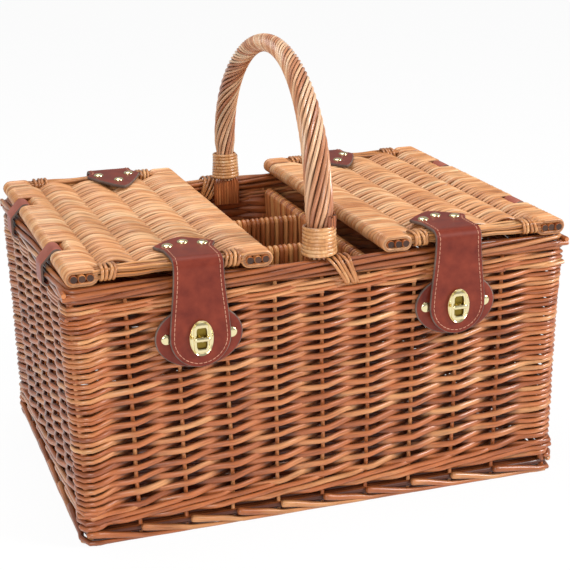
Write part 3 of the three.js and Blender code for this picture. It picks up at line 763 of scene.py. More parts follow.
@dataclass
class WovenBody(Woven):
    """The four walls as one weave: stakes, climbing weavers, a top wale, a bottom wale and the foot."""

    line: WallLine
    rows: int = 21
    row_taper: float = 0.43
    first_row: float = 1.2
    last_row: float = 19.7
    wave_at: tuple[float, ...] = (0.0, 0.55, 1.17, 2.0)
    wave_rise: tuple[float, ...] = (0.0, 0.52, 1.26, 2.0)
    wave_start: float = 0.45
    rod: float = 1.15 * MM
    rod_share: float = 0.33
    rod_depth: float = 2.4 * MM
    swing: float = 5.5 * MM
    swing_lag: float = 0.05
    swing_peak: float = 0.997
    back_width: float = 0.85
    corner_width: float = 0.8
    corner_out: float = 6.8 * MM
    corner_run: tuple[float, float] = (0.12, 0.6)
    stake: float = 1.9 * MM
    post: float = 3.4 * MM
    samples: int = 8
    splice: int = 8
    wale_rod: float = 1.9 * MM
    wale_heights: tuple[float, ...] = (214 * MM, 218 * MM, 222 * MM)
    wale_waves: int = 11
    foot_wale_rod: float = 2.95 * MM
    foot_wale_span: float = 3.6
    foot_wale_from: float = 16.5 * MM
    foot_wale_to: float = 35 * MM
    foot_rod: float = 3.7 * MM
    foot_span: float = 2.5
    foot_from: float = 11.2 * MM
    foot_to: float = -9.0 * MM
    foot_out: tuple[float, float, float] = (5.9 * MM, 5.7 * MM, 4.8 * MM)
    row_wander: float = 0.1
    rod_swell: float = 0.14
    out_wander: float = 0.4 * MM
    stake_ends: tuple[float, float] = (4 * MM, 6 * MM)
    stake_wander: float = 0.02
    stake_wave: float = 60 * MM
    wale_rise: float = 1.5 * MM
    wale_wander: float = 0.8 * MM
    wale_out: float = 0.8 * MM
    wale_swing: float = 0.85
    slant_stagger: float = 0.15
    slant_wander: float = 0.7 * MM
    ground_gap: float = 0.1 * MM
    foot_tail: float = 0.22
    foot_wale_tail: float = 0.75
    core_rod: float = 3.0 * MM
    core_heights: tuple[float, ...] = (3.2 * MM, 8.6 * MM, 9 * MM, 12.8 * MM, 18.2 * MM)
    core_reach: tuple[float, ...] = (-2 * MM, -3.2 * MM, 1.6 * MM, -6 * MM, -6.4 * MM)

    def shades(self, rods: int, steps: Array) -> Array:
        """A shade for each rod that changes where a new rod is spliced in."""
        splices = (np.asarray(steps) // self.splice).astype(int)
        return self.rng.random((rods, splices.max() + 1))[:, splices]

    def row_height(self, row: Array) -> tuple[Array, Array]:
        """Heights of rows, packed closer towards the rim as an exponential, and the height of one row there.

        Args:
            row: Row numbers from the foot, whole or not.

        Returns:
            Heights, and heights for each row.
        """
        low, high = (corner.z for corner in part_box("wall_front"))
        fall = np.exp(-self.row_taper * row / self.rows)
        scale = (high - low) / (1 - np.exp(-self.row_taper))
        return low + scale * (1 - fall), scale * fall * self.row_taper / self.rows

    def at_corner(self, stake: Array) -> Array:
        """How near places counted in stakes are to a corner post: 1 at one, 0 well past it."""
        away = (stake[..., None] - np.array(self.post_numbers()) + self.line.count / 2) % self.line.count
        return smooth(np.abs(away - self.line.count / 2).min(-1), *self.corner_run[::-1])

    def weavers(self) -> Surface:
        """One rod from each stake, which climbs a row in two stakes and goes behind and in front in turn.

        At t stakes from its start a rod stands swing (2 / pi) arcsin(k cos(pi (t - lag))) inside the line, a
        triangle wave with its peaks just rounded, so it bends at the stakes. It rises a little faster where
        it goes back in. Every rod rounds the corner posts on the outside, where a running mean of 1, 2, 1
        takes the kinks out.

        Returns:
            The rods' skins.
        """
        line = self.line
        run = 2 * (self.last_row - self.first_row)
        t = np.linspace(0, run, int(run * self.samples))
        whole, part = np.divmod(t - self.wave_start, 2)
        climbed = 2 * whole + np.interp(part, self.wave_at, self.wave_rise)
        at_front = np.interp(1 - self.wave_start, self.wave_at, self.wave_rise)
        stake = np.arange(line.count)[:, None] + t
        corner = self.at_corner(stake)
        row = self.first_row + ((climbed - at_front + 1) * (1 - corner) + t * corner) / 2
        z, pitch = self.row_height(row + self.row_wander * ripple(self.rng, line.count, t))
        wave = np.arcsin(self.swing_peak * np.cos(np.pi * (t - self.swing_lag))) / (np.pi / 2)
        depth = -self.swing * wave * (1 - corner) + self.corner_out * corner
        depth = depth + self.out_wander * ripple(self.rng, line.count, t)
        point, outward = line.at(stake, z)
        path = point + outward * depth[..., None]
        eased = (path[:, :-2] + 2 * path[:, 1:-1] + path[:, 2:]) / 4
        path[:, 1:-1] += (eased - path[:, 1:-1]) * corner[:, 1:-1, None]
        # behind paints shade on the back of each rod where it goes behind a stake, and widens the rod there.
        behind = smooth(-depth / self.swing, -0.1, 0.65)
        swell = 1 + self.rod_swell * ripple(self.rng, line.count, t, (0.11, 0.37))
        width = (self.rod + self.rod_share * pitch / 2) * swell * (1 + self.back_width * behind)
        width = width * (1 - (1 - self.corner_width) * corner)
        return tubes(path, outward, width, self.rod_depth * swell, tone=self.shades(line.count, t),
                     behind=behind, groove=0.7)

    def stakes(self) -> Surface:
        """Upright rods on the line, thicker at the corners.

        Returns:
            The rods' skins.
        """
        line = self.line
        z = np.linspace(self.stake_ends[0], line.height - self.stake_ends[1], 14)
        stake = np.repeat(np.arange(line.count)[:, None], len(z), axis=1).astype(float)
        stake = stake + self.stake_wander * ripple(self.rng, line.count, z / self.stake_wave)
        point, outward = line.at(stake, np.broadcast_to(z, stake.shape))
        is_post = np.isin(np.arange(line.count), self.post_numbers())
        radius = np.where(is_post, self.post, self.stake)[:, None] * np.ones_like(z)
        return tubes(point, outward, radius, tone=0.5 + 0.5 * self.rng.random(line.count))

    def post_numbers(self) -> list[int]:
        """The corner posts' places in the count of stakes.

        Returns:
            The four numbers.
        """
        line = self.line
        long, short = line.long_stakes + 1, line.short_stakes + 1
        return [0, long, long + short, 2 * long + short]

    def top_wale(self) -> Surface:
        """Rounds of three thin rods that twist round each other, in front of two stakes and behind one.

        Returns:
            The rods' skins.
        """
        line = self.line
        s = np.linspace(0, line.count, line.count * self.samples, endpoint=False)
        parts = []
        for height in self.wale_heights:
            turn = TAU * (self.wale_waves * s / line.count + np.arange(3)[:, None] / 3)
            wander = ripple(self.rng, 3, s / line.count, (5, 9, 14))
            z = height + self.wale_rise * np.sin(turn) + self.wale_wander * wander
            point, outward = line.at(np.broadcast_to(s, turn.shape), z)
            depth = self.wale_out + self.wale_swing * self.swing * np.cos(turn)
            path = point + outward * depth[..., None]
            # behind paints shade on the wale rods where they pass behind the stakes.
            behind = smooth(-depth / self.swing, -0.2, 0.6)
            parts.append(tubes(path, outward, self.wale_rod, sides=7, closed=True, tone=self.rng.random(3),
                               behind=behind, groove=0.5))
        return Surface.joined(parts)

    def slanted(
        self, span: float, low: float, high: float, radius: float, depths: Sequence[float], tail: float,
    ) -> Surface:
        """One rod from each stake that slants from one height to another.

        Args:
            span: The rod's length in stakes.
            low: Its first height.
            high: Its last height; one below the ground lets the rod sink to the ground early and lie on it.
            radius: Its thickness.
            depths: How far out it stands at its start, at its middle and at its end.
            tail: The share of the thickness left at its end.

        Returns:
            The rods' skins.
        """
        line = self.line
        tip = np.array([0.0, 0.012, 0.035, 0.07])
        t = np.concatenate([tip, np.linspace(0.13, span, int(span * self.samples))])
        share = t / span
        stagger = self.slant_stagger * (self.rng.random((line.count, 1)) - 0.5)
        stake = np.arange(line.count)[:, None] + t + stagger
        blunt = np.interp(t, tip, [0.3, 0.75, 0.94, 1.0])
        thick = radius * blunt * (1 - (1 - tail) * share) * np.ones((line.count, 1))
        z = low + (high - low) * share + self.slant_wander * ripple(self.rng, line.count, t)
        z = np.maximum(z, thick + self.ground_gap)
        rise, fall = smooth(share, 0, 0.22), smooth(share, 0.75, 1)
        depth = depths[0] + (depths[1] - depths[0]) * rise + (depths[2] - depths[1]) * fall
        depth = np.maximum(depth, (self.corner_out + self.swing) * self.at_corner(stake) - self.swing)
        point, outward = line.at(stake, z)
        depth = depth + self.out_wander * ripple(self.rng, line.count, t)
        path = point + outward * depth[..., None]
        return tubes(path, outward, thick, tone=self.rng.random(line.count), groove=0.5)

    def foot(self) -> Surface:
        """The stakes' ends along the foot: each slants down to the right under the next, over core rods.

        Returns:
            The rods' skins.
        """
        line = self.line
        laid = self.slanted(self.foot_span, self.foot_from, self.foot_to, self.foot_rod, self.foot_out,
                            self.foot_tail)
        s = np.linspace(0, line.count, line.count * 6, endpoint=False)
        heights = np.array(self.core_heights)[:, None] * np.ones_like(s)
        stake = np.broadcast_to(s, heights.shape)
        point, outward = line.at(stake, heights)
        path = point + outward * np.array(self.core_reach)[:, None, None]
        # The core rods take a deep tone and painted shade all over, for the shadow behind the foot rods.
        core = tubes(path, outward, self.core_rod, closed=True, tone=0.2, behind=0.9)
        return Surface.joined([laid, core])

    def build(self) -> None:
        """Makes the pieces and lets them ride on the basket."""
        body = self.finishes.body
        walls = [f"wall_{name}" for name in ("front", "rear", "left", "right")]
        place(self.weavers().piece("wall_weavers", [body]), "basket", Slot.BODY, *walls)
        place(self.stakes().piece("wall_stakes", [body]), "basket", Slot.BODY)
        place(self.top_wale().piece("wall_top_wale", [body]), "basket", Slot.BODY)
        reach = (-self.swing, 0.9 * self.swing, -self.swing)
        wale = self.slanted(self.foot_wale_span, self.foot_wale_from, self.foot_wale_to, self.foot_wale_rod,
                            reach, self.foot_wale_tail)
        place(wale.piece("wall_foot_wale", [body]), "basket", Slot.BODY)
        place(self.foot().piece("foot_rods", [self.finishes.border]), "basket", Slot.BODY, "foot_border")


@dataclass
class RimBorder(Woven):
    """The laid border on top of the walls: long rods that turn slowly round each other."""

    strands: int = 7
    turns: int = 3
    rod: float = 2.45 * MM
    corner: float = 5.4 * MM
    steps: int = 480
    end_length: float = 46 * MM
    end_reach: float = -1.0 * MM
    end_sink: float = 1.5 * MM
    end_lifts: tuple[float, float] = (-0.3, 1.2)
    turn_wander: float = 0.22
    reach_wander: float = 0.7 * MM
    rod_swell: float = 0.1
    core_share: float = 0.62

    def trimmed_ends(self, high: Array, middle: float) -> Surface:
        """Rods that run straight past each corner and are trimmed there, a pair along X and a pair along Y.

        Args:
            high: The rim's greatest X and Y.
            middle: The height of the rim's middle.

        Returns:
            The rods' skins, with the trimmed ends as a second finish.
        """
        share = np.array([0.0, 0.5, 0.97, 1.0])
        thick = self.rod * np.array([0.9, 1.0, 1.0, 0.86])
        paths = []
        for sign in ((-1, -1), (1, -1), (-1, 1), (1, 1)):
            for run, lift in enumerate(self.end_lifts):
                path = np.zeros((len(share), 3))
                reach = self.end_reach * (0.5 + 0.5 * self.rng.random())
                sunk = self.end_sink * (1 - smooth(share, 0.2, 0.9))
                path[:, run] = sign[run] * (high[run] + reach - self.end_length * (1 - share))
                path[:, 1 - run] = sign[1 - run] * (high[1 - run] - self.rod - sunk)
                path[:, 2] = middle + lift * self.rod
                paths.append(path)
        tone = 0.2 + 0.5 * self.rng.random(len(paths))
        return tubes(np.stack(paths), UP, thick, sides=9, tone=tone, cap_zone=1)

    def build(self) -> None:
        """Twists the strands on the rim's line: centre + r (cos a out + sin a up), a growing evenly."""
        low, high = box_of("rim_border")
        depth = high[2] - low[2]
        ring = Ring(high[:2] - depth / 2, self.corner)
        s = np.linspace(0, 1, self.steps, endpoint=False)
        point, outward = ring.at(s * ring.length)
        point[..., 2] = (low[2] + high[2]) / 2
        turn = TAU * (self.turns * s + np.arange(self.strands)[:, None] / self.strands)
        turn = turn + self.turn_wander * ripple(self.rng, self.strands, s, (3, 7, 11))
        reach = depth / 2 - self.rod + self.reach_wander * ripple(self.rng, self.strands, s, (5, 9, 16))
        path = point + (reach * np.cos(turn))[..., None] * outward + (reach * np.sin(turn))[..., None] * UP
        radius = self.rod * (1 + self.rod_swell * ripple(self.rng, self.strands, s, (3, 8)))
        tone = 0.15 + 0.6 * self.rng.random(self.strands)
        rods = tubes(path, path - point, radius, sides=9, closed=True, tone=tone, groove=1.0)
        inmost = self.core_share * reach.mean()
        # The rim's core takes the deepest tone and painted shade all over, for the shadow inside the rods.
        core = tubes(point[None], outward[None], inmost, closed=True, tone=0.0, behind=0.9)
        ends = self.trimmed_ends(high[:2], (low[2] + high[2]) / 2)
        finishes = [self.finishes.border, self.finishes.inside]
        piece = Surface.joined([rods, core, ends]).piece("rim_rods", finishes)
        place(piece, "basket", Slot.BODY, "rim_border")


# The inside


@dataclass
class Interior(Woven):
    """The base mat, two long dividers and two cross panels."""

    upright: float = 2.3 * MM
    pitch: float = 5.0 * MM
    base_rod: float = 2.4 * MM
    base_stick: float = 3.0 * MM
    base_pitch: float = 4.7 * MM
    base_sticks: int = 13
    base_margin: float = 2 * MM
    base_wander: float = 0.5 * MM
    base_rise: float = 2.4 * MM
    lean: float = 0.5 * MM
    lean_wave: float = 40 * MM
    leg_share: float = 0.62
    bar_share: float = 0.7
    bar_foot: float = 3 * MM
    bar_heights: tuple[float, float] = (0.72, 0.4)

    def panel(self, node: str) -> None:
        """Upright rods bent over a top rod: each goes up one face, half round the bead and down the other.

        Args:
            node: The panel's solid, whose box the rods fill.
        """
        low, high = box_of(node)
        size = high - low
        run = int(np.argmax(size[:2]))
        thick = 1 - run
        bead = size[thick] / 2
        bend = bead - self.upright
        count = int((size[run] - 2 * self.upright) / self.pitch) + 1
        places = np.linspace(low[run] + self.upright, high[run] - self.upright, count)
        lean = self.rng.normal(0, self.lean, (count, 1))
        angle = np.linspace(0, np.pi, 9)
        leg = np.linspace(low[2], high[2] - bead, 6)[:-1]
        leg_out = np.full(len(leg), self.leg_share * bend)
        across = np.concatenate([leg_out, bend * np.cos(angle), -leg_out])
        z = np.concatenate([leg, high[2] - bead + bend * np.sin(angle), leg[::-1]])
        middle, order = (low[thick] + high[thick]) / 2, [run, thick, 2]
        path = xyz(places[:, None] + lean * np.cos(z / self.lean_wave), middle + across, z)[..., order]
        rods = tubes(path, np.eye(3)[run], self.upright, sides=7, tone=self.rng.random(count))
        between = [low[2] + share * size[2] for share in self.bar_heights]
        heights = np.array([high[2] - bead, *between, low[2] + self.bar_foot])
        bars = xyz(np.array([low[run], high[run]]), middle, heights[:, None])[..., order]
        inner = tubes(bars, UP, self.bar_share * bend, tone=0.2)
        piece = Surface.joined([rods, inner]).piece(f"{node}_rods", [self.finishes.inside])
        place(piece, "basket", Slot.INSIDE, node)

    def base(self) -> None:
        """A mat: sticks along Y, and weft along X that rises and falls over them as a sine, in turn."""
        low, high = box_of("base_panel")
        middle = (low[2] + high[2]) / 2
        x = np.linspace(low[0] + self.base_margin, high[0] - self.base_margin, self.base_sticks * 7)
        rows = int((high[1] - low[1]) / self.base_pitch)
        y = np.linspace(low[1] + self.base_rod, high[1] - self.base_rod, rows)
        share = (x - low[0]) / (high[0] - low[0]) * self.base_sticks
        sign = np.where(np.arange(rows) % 2 == 0, 1.0, -1.0)[:, None]
        wander = self.base_wander * ripple(self.rng, rows, share)
        rise = sign * self.base_rise * np.sin(np.pi * share)
        path = xyz(x, y[:, None] + wander, middle + rise)
        weft = tubes(path, UP, self.base_rod, sides=6, tone=self.rng.random(rows))
        at = low[0] + (np.arange(self.base_sticks) + 0.5) / self.base_sticks * (high[0] - low[0])
        bars = xyz(at[:, None], np.array([low[1], high[1]]), middle)
        sticks = tubes(bars, UP, self.base_stick, tone=0.3)
        piece = Surface.joined([weft, sticks]).piece("base_mat", [self.finishes.inside])
        place(piece, "basket", Slot.INSIDE, "base_panel")

    def build(self) -> None:
        """Makes the mat and the panels."""
        self.base()
        for node in ("divider_left", "divider_right", "cross_panel_front", "cross_panel_rear"):
            self.panel(node)


# The handle


@dataclass
class BowHandle(Woven):
    """The twisted bow, its bound collars, the splayed rods under them and the lashings on the rim."""

    yaw: float = np.radians(-1.45)
    half_span: float = 158 * MM
    leg: float = 40 * MM
    collar_radius: float = 10.8 * MM
    shoulder_radius: float = 12.8 * MM
    crown_radius: float = 8.9 * MM
    crown_drop: float = 3 * MM
    rear_slim: float = 0.86
    shoulder_rise: float = 14 * MM
    strands: int = 13
    twists: float = 4.6
    foot_twist: float = 0.25
    lean: tuple[float, float] = (5 * MM, -6 * MM)
    steps: int = 260
    strand_depth: float = 0.21
    strand_fill: float = 0.97
    cane_width: float = 1.9 * MM
    cane_depth: float = 1.3 * MM
    collar_turns: int = 8
    collar_flare: float = 1.4 * MM
    collar_drop: float = 4 * MM
    splay_length: float = 36 * MM
    lashing_strands: int = 5
    lashing_offset: float = 15.5 * MM
    lashing_pitch: float = 3.7 * MM
    lashing_shear: float = 6.5 * MM
    lashing_drop: float = 6 * MM
    lashing_round: float = 0.55
    lashing_width: float = 1.6 * MM
    lashing_gap: float = 0.3 * MM
    lashing_wander: float = 1.2 * MM
    lashing_fan: float = 0.22
    twist_wander: float = 0.05
    core_share: float = 0.86
    fill_start: float = 4 * MM
    cane_out: float = 1.4 * MM
    tuck_turn: float = 0.15
    splay_rods: int = 9
    splay_rod: float = 2.2 * MM
    splay_rise: float = 8 * MM
    splay_half: tuple[float, float] = (8 * MM, 4 * MM)
    splay_inward: float = 3.5 * MM
    splay_depth: float = 2 * MM
    cut_rods: int = 10
    cut_rod: float = 1.3 * MM
    cut_out: float = 0.6 * MM
    cut_foot: float = 10 * MM
    cut_lean: float = 0.8 * MM
    cut_length: tuple[float, float] = (15 * MM, 5 * MM)

    def __post_init__(self) -> None:
        """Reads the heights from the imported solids."""
        rim_low, rim_high = box_of("rim_border")
        self.rim_low, self.rim_high = rim_low, rim_high
        self.foot = rim_high[2]
        self.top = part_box("handle")[1].z - self.crown_drop
        collar_low, collar_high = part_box("handle_collar_front")
        self.collar = (collar_low.z - self.collar_drop, collar_high.z - 0.4 * self.collar_drop)

    def turned_round(self, points: Array) -> Array:
        """Points turned by the handle's yaw about Z.

        Args:
            points: The points.

        Returns:
            The turned points.
        """
        cosine, sine = np.cos(self.yaw), np.sin(self.yaw)
        turn = np.array([[cosine, -sine, 0], [sine, cosine, 0], [0, 0, 1]])
        return points @ turn.T

    def line(self) -> tuple[Array, Array, Array]:
        """The bow's middle line: a leg, half an ellipse that leans by its squared sine, and a leg.

        Returns:
            Points, unit tangents and the distance from the nearer foot, at even steps.
        """
        rise = self.top - self.crown_radius - self.foot - self.leg
        angle = np.linspace(0, np.pi, 400)
        bow = np.zeros((len(angle) + 2, 3))
        bow[1:-1, 0] = self.lean[0] * np.sin(angle) ** 2
        bow[1:-1, 1] = -self.half_span * np.cos(angle) + self.lean[1] * np.sin(angle) ** 2
        bow[1:-1, 2] = self.foot + self.leg + rise * np.sin(angle)
        bow[0], bow[-1] = (0, -self.half_span, self.foot), (0, self.half_span, self.foot)
        walked = walked_along(bow)
        s = np.linspace(0, walked[-1], self.steps)
        points = np.stack([np.interp(s, walked, bow[:, k]) for k in range(3)], -1)
        tangents = unit(np.gradient(points, axis=0))
        return points, tangents, np.minimum(s, walked[-1] - s)

    def thickness(self, from_foot: Array) -> Array:
        """The bow's radius: slim in the collar, full just above it, slim again at the crown.

        Args:
            from_foot: Distances from the nearer foot.

        Returns:
            The radius there.
        """
        shoulder = self.collar[1] - self.foot
        fill = smooth(from_foot, shoulder - self.fill_start, shoulder + self.shoulder_rise)
        slim = smooth(from_foot, shoulder + self.shoulder_rise, from_foot.max())
        upper = self.shoulder_radius + (self.crown_radius - self.shoulder_radius) * slim
        return self.collar_radius + (upper - self.collar_radius) * fill

    def bow(self) -> Surface:
        """Strands that wind round the middle line: centre + r (cos a X + sin a inward).

        The rate of winding grows from the feet to the crown as a squared sine, and a strand is as wide as its
        share of the girth times the cosine of its slant.

        Returns:
            The strands' skins, and a core as a second finish.
        """
        points, tangents, from_foot = self.line()
        share = np.linspace(0, 1, self.steps)
        radius = self.thickness(from_foot) * (1 - (1 - self.rear_slim) * smooth(share, 0.4, 0.95))
        rate = self.foot_twist + (1 - self.foot_twist) * np.sin(np.pi * share) ** 2
        walked = np.concatenate([[0], np.cumsum((rate[1:] + rate[:-1]) / 2)])
        wound = TAU * self.twists * walked / walked[-1]
        turn = wound + TAU * np.arange(self.strands)[:, None] / self.strands
        turn = turn + self.twist_wander * ripple(self.rng, self.strands, np.linspace(0, 4, self.steps))
        across = np.array([1.0, 0.0, 0.0])
        inward = np.cross(tangents, across)
        depth = self.strand_depth * radius
        reach = radius - depth
        step = np.linalg.norm(np.gradient(points, axis=0), axis=1)
        slant = np.arctan(reach * np.gradient(wound) / step)
        width = self.strand_fill * np.pi * reach / self.strands * np.cos(slant)
        spoke = np.cos(turn)[..., None] * across + np.sin(turn)[..., None] * inward
        path = points + reach[:, None] * spoke
        tone = self.rng.random(self.strands)
        path, spoke = self.turned_round(path), self.turned_round(spoke)
        strands = tubes(path, spoke, width, depth, tone=tone, groove=0.75)
        inmost = self.core_share * reach
        core = tubes(self.turned_round(points)[None], across, inmost, sides=10, tone=0.0, zone=1)
        return Surface.joined([strands, core])

    def collar_winding(self, side: Side) -> Surface:
        """Cane wound up the leg as a helix, with both ends tucked in towards the leg.

        Args:
            side: The side of the basket.

        Returns:
            The cane's skin.
        """
        low, high = self.collar
        t = np.linspace(0, self.collar_turns, self.collar_turns * 20)
        pitch = (high - low - 2 * self.cane_width) / self.collar_turns
        tuck = smooth(t, 0, self.tuck_turn) * smooth(self.collar_turns - t, 0, self.tuck_turn)
        leg = self.collar_radius * (self.rear_slim if side is Side.REAR else 1.0)
        reach = leg + self.cane_depth * (2 * tuck - 0.6) + self.cane_out * tuck
        reach = reach + self.collar_flare * (1 - t / self.collar_turns) ** 2
        spoke = xyz(np.cos(TAU * t), np.sin(TAU * t), 0.0)
        path = reach[:, None] * spoke
        path[:, 1] += side.value * self.half_span
        path[:, 2] = low + self.cane_width + pitch * t
        tone = np.clip(0.5 + 0.4 * ripple(self.rng, 1, t), 0, 1)
        return tubes(self.turned_round(path)[None], self.turned_round(spoke)[None], self.cane_width,
                     self.cane_depth, tone=tone, groove=0.6)

    def splayed(self, side: Side) -> Surface:
        """Rods that leave the collar downwards, spread out and go in behind the rim.

        Args:
            side: The side of the basket.

        Returns:
            The rods' skins.
        """
        count = self.splay_rods
        fan = np.linspace(-1, 1, count)[:, None]
        drop = np.linspace(0, 1, 12)
        start = self.collar[0] + self.splay_rise
        depth = np.abs(self.rng.normal(0, 0.1, (count, 1)))
        inward = self.splay_inward * smooth(drop, 0.02, 0.14)
        x = fan * (self.splay_half[0] + self.splay_half[1] * smooth(drop, 0, 0.4))
        y = side.value * (self.half_span - inward + self.splay_depth * depth)
        path = xyz(x, y, start - self.splay_length * drop)
        outward = np.array([0.0, side.value, 0.0])
        tone = 0.5 * self.rng.random(count)
        return tubes(self.turned_round(path), outward, self.splay_rod, sides=7, tone=tone)

    def cut_ends(self) -> Surface:
        """A few trimmed rod ends that stand beside the front leg, just above its collar.

        Returns:
            The rods' skins, with the trimmed ends as a second finish.
        """
        count = self.cut_rods
        angle = np.radians(np.linspace(-70, 40, count))
        spoke = xyz(np.cos(angle), np.sin(angle), 0.0)
        leg = np.array([0.0, -self.half_span, self.collar[1] - self.cut_foot])
        foot = (self.shoulder_radius + self.cut_out) * spoke + leg
        tip = foot + self.cut_lean * spoke
        tip[:, 2] += self.cut_length[0] + self.cut_length[1] * self.rng.random(count)
        path = self.turned_round(np.stack([foot, tip], 1))
        tone = 0.3 * self.rng.random(count)
        return tubes(path, np.array([0.0, 1.0, 0.0]), self.cut_rod, sides=7, tone=tone, cap_zone=1)

    def lashing(self, side: Side) -> Surface:
        """Loops of cane round the rim beside the collar, each leaning to the right from top to bottom.

        Args:
            side: The side of the basket.

        Returns:
            The loops' skins.
        """
        t = np.linspace(0, TAU, 40, endpoint=False)
        half = (self.rim_high[2] - self.rim_low[2]) / 2
        grow = self.cane_depth + self.lashing_gap
        sweep = [rounded(wave, self.lashing_round) for wave in (np.cos(t), np.sin(t))]
        wander = self.lashing_wander * ripple(self.rng, self.lashing_strands, t / TAU, (1, 2))
        lean = -self.lashing_shear * sweep[1] + wander
        fan = numbered(self.lashing_strands) * self.lashing_pitch * (1 + self.lashing_fan * sweep[1])
        x = -side.value * self.lashing_offset + fan - side.value * lean
        y = side.value * (self.rim_high[1] - half + (half + grow) * sweep[0])
        z = (self.rim_low[2] + self.rim_high[2]) / 2 + (half + grow) * sweep[1]
        path = xyz(x, y, z - self.lashing_drop * (1 - sweep[1]) / 2)
        return tubes(path, from_middle(path, 0), self.lashing_width, self.cane_depth, closed=True,
                     tone=self.rng.random(self.lashing_strands), groove=0.7)

    def build(self) -> None:
        """Makes the handle's pieces."""
        done = self.finishes
        place(self.bow().piece("handle_strands", [done.handle, done.inside]), "basket", Slot.LID, "handle")
        splay = Surface.joined([self.splayed(side) for side in Side])
        place(splay.piece("handle_splayed_rods", [done.border]), "basket", Slot.BODY)
        place(self.cut_ends().piece("handle_cut_ends", [done.border, done.cut_end]), "basket", Slot.BODY)
        for side in Side:
            winding = self.collar_winding(side).piece(f"collar_cane_{side.word}", [done.cane])
            place(winding, "basket", Slot.CANE, f"handle_collar_{side.word}")
            lashing = self.lashing(side).piece(f"lashing_cane_{side.word}", [done.lashing])
            place(lashing, "basket", Slot.CANE, f"rim_lashing_{side.word}")


# The lids


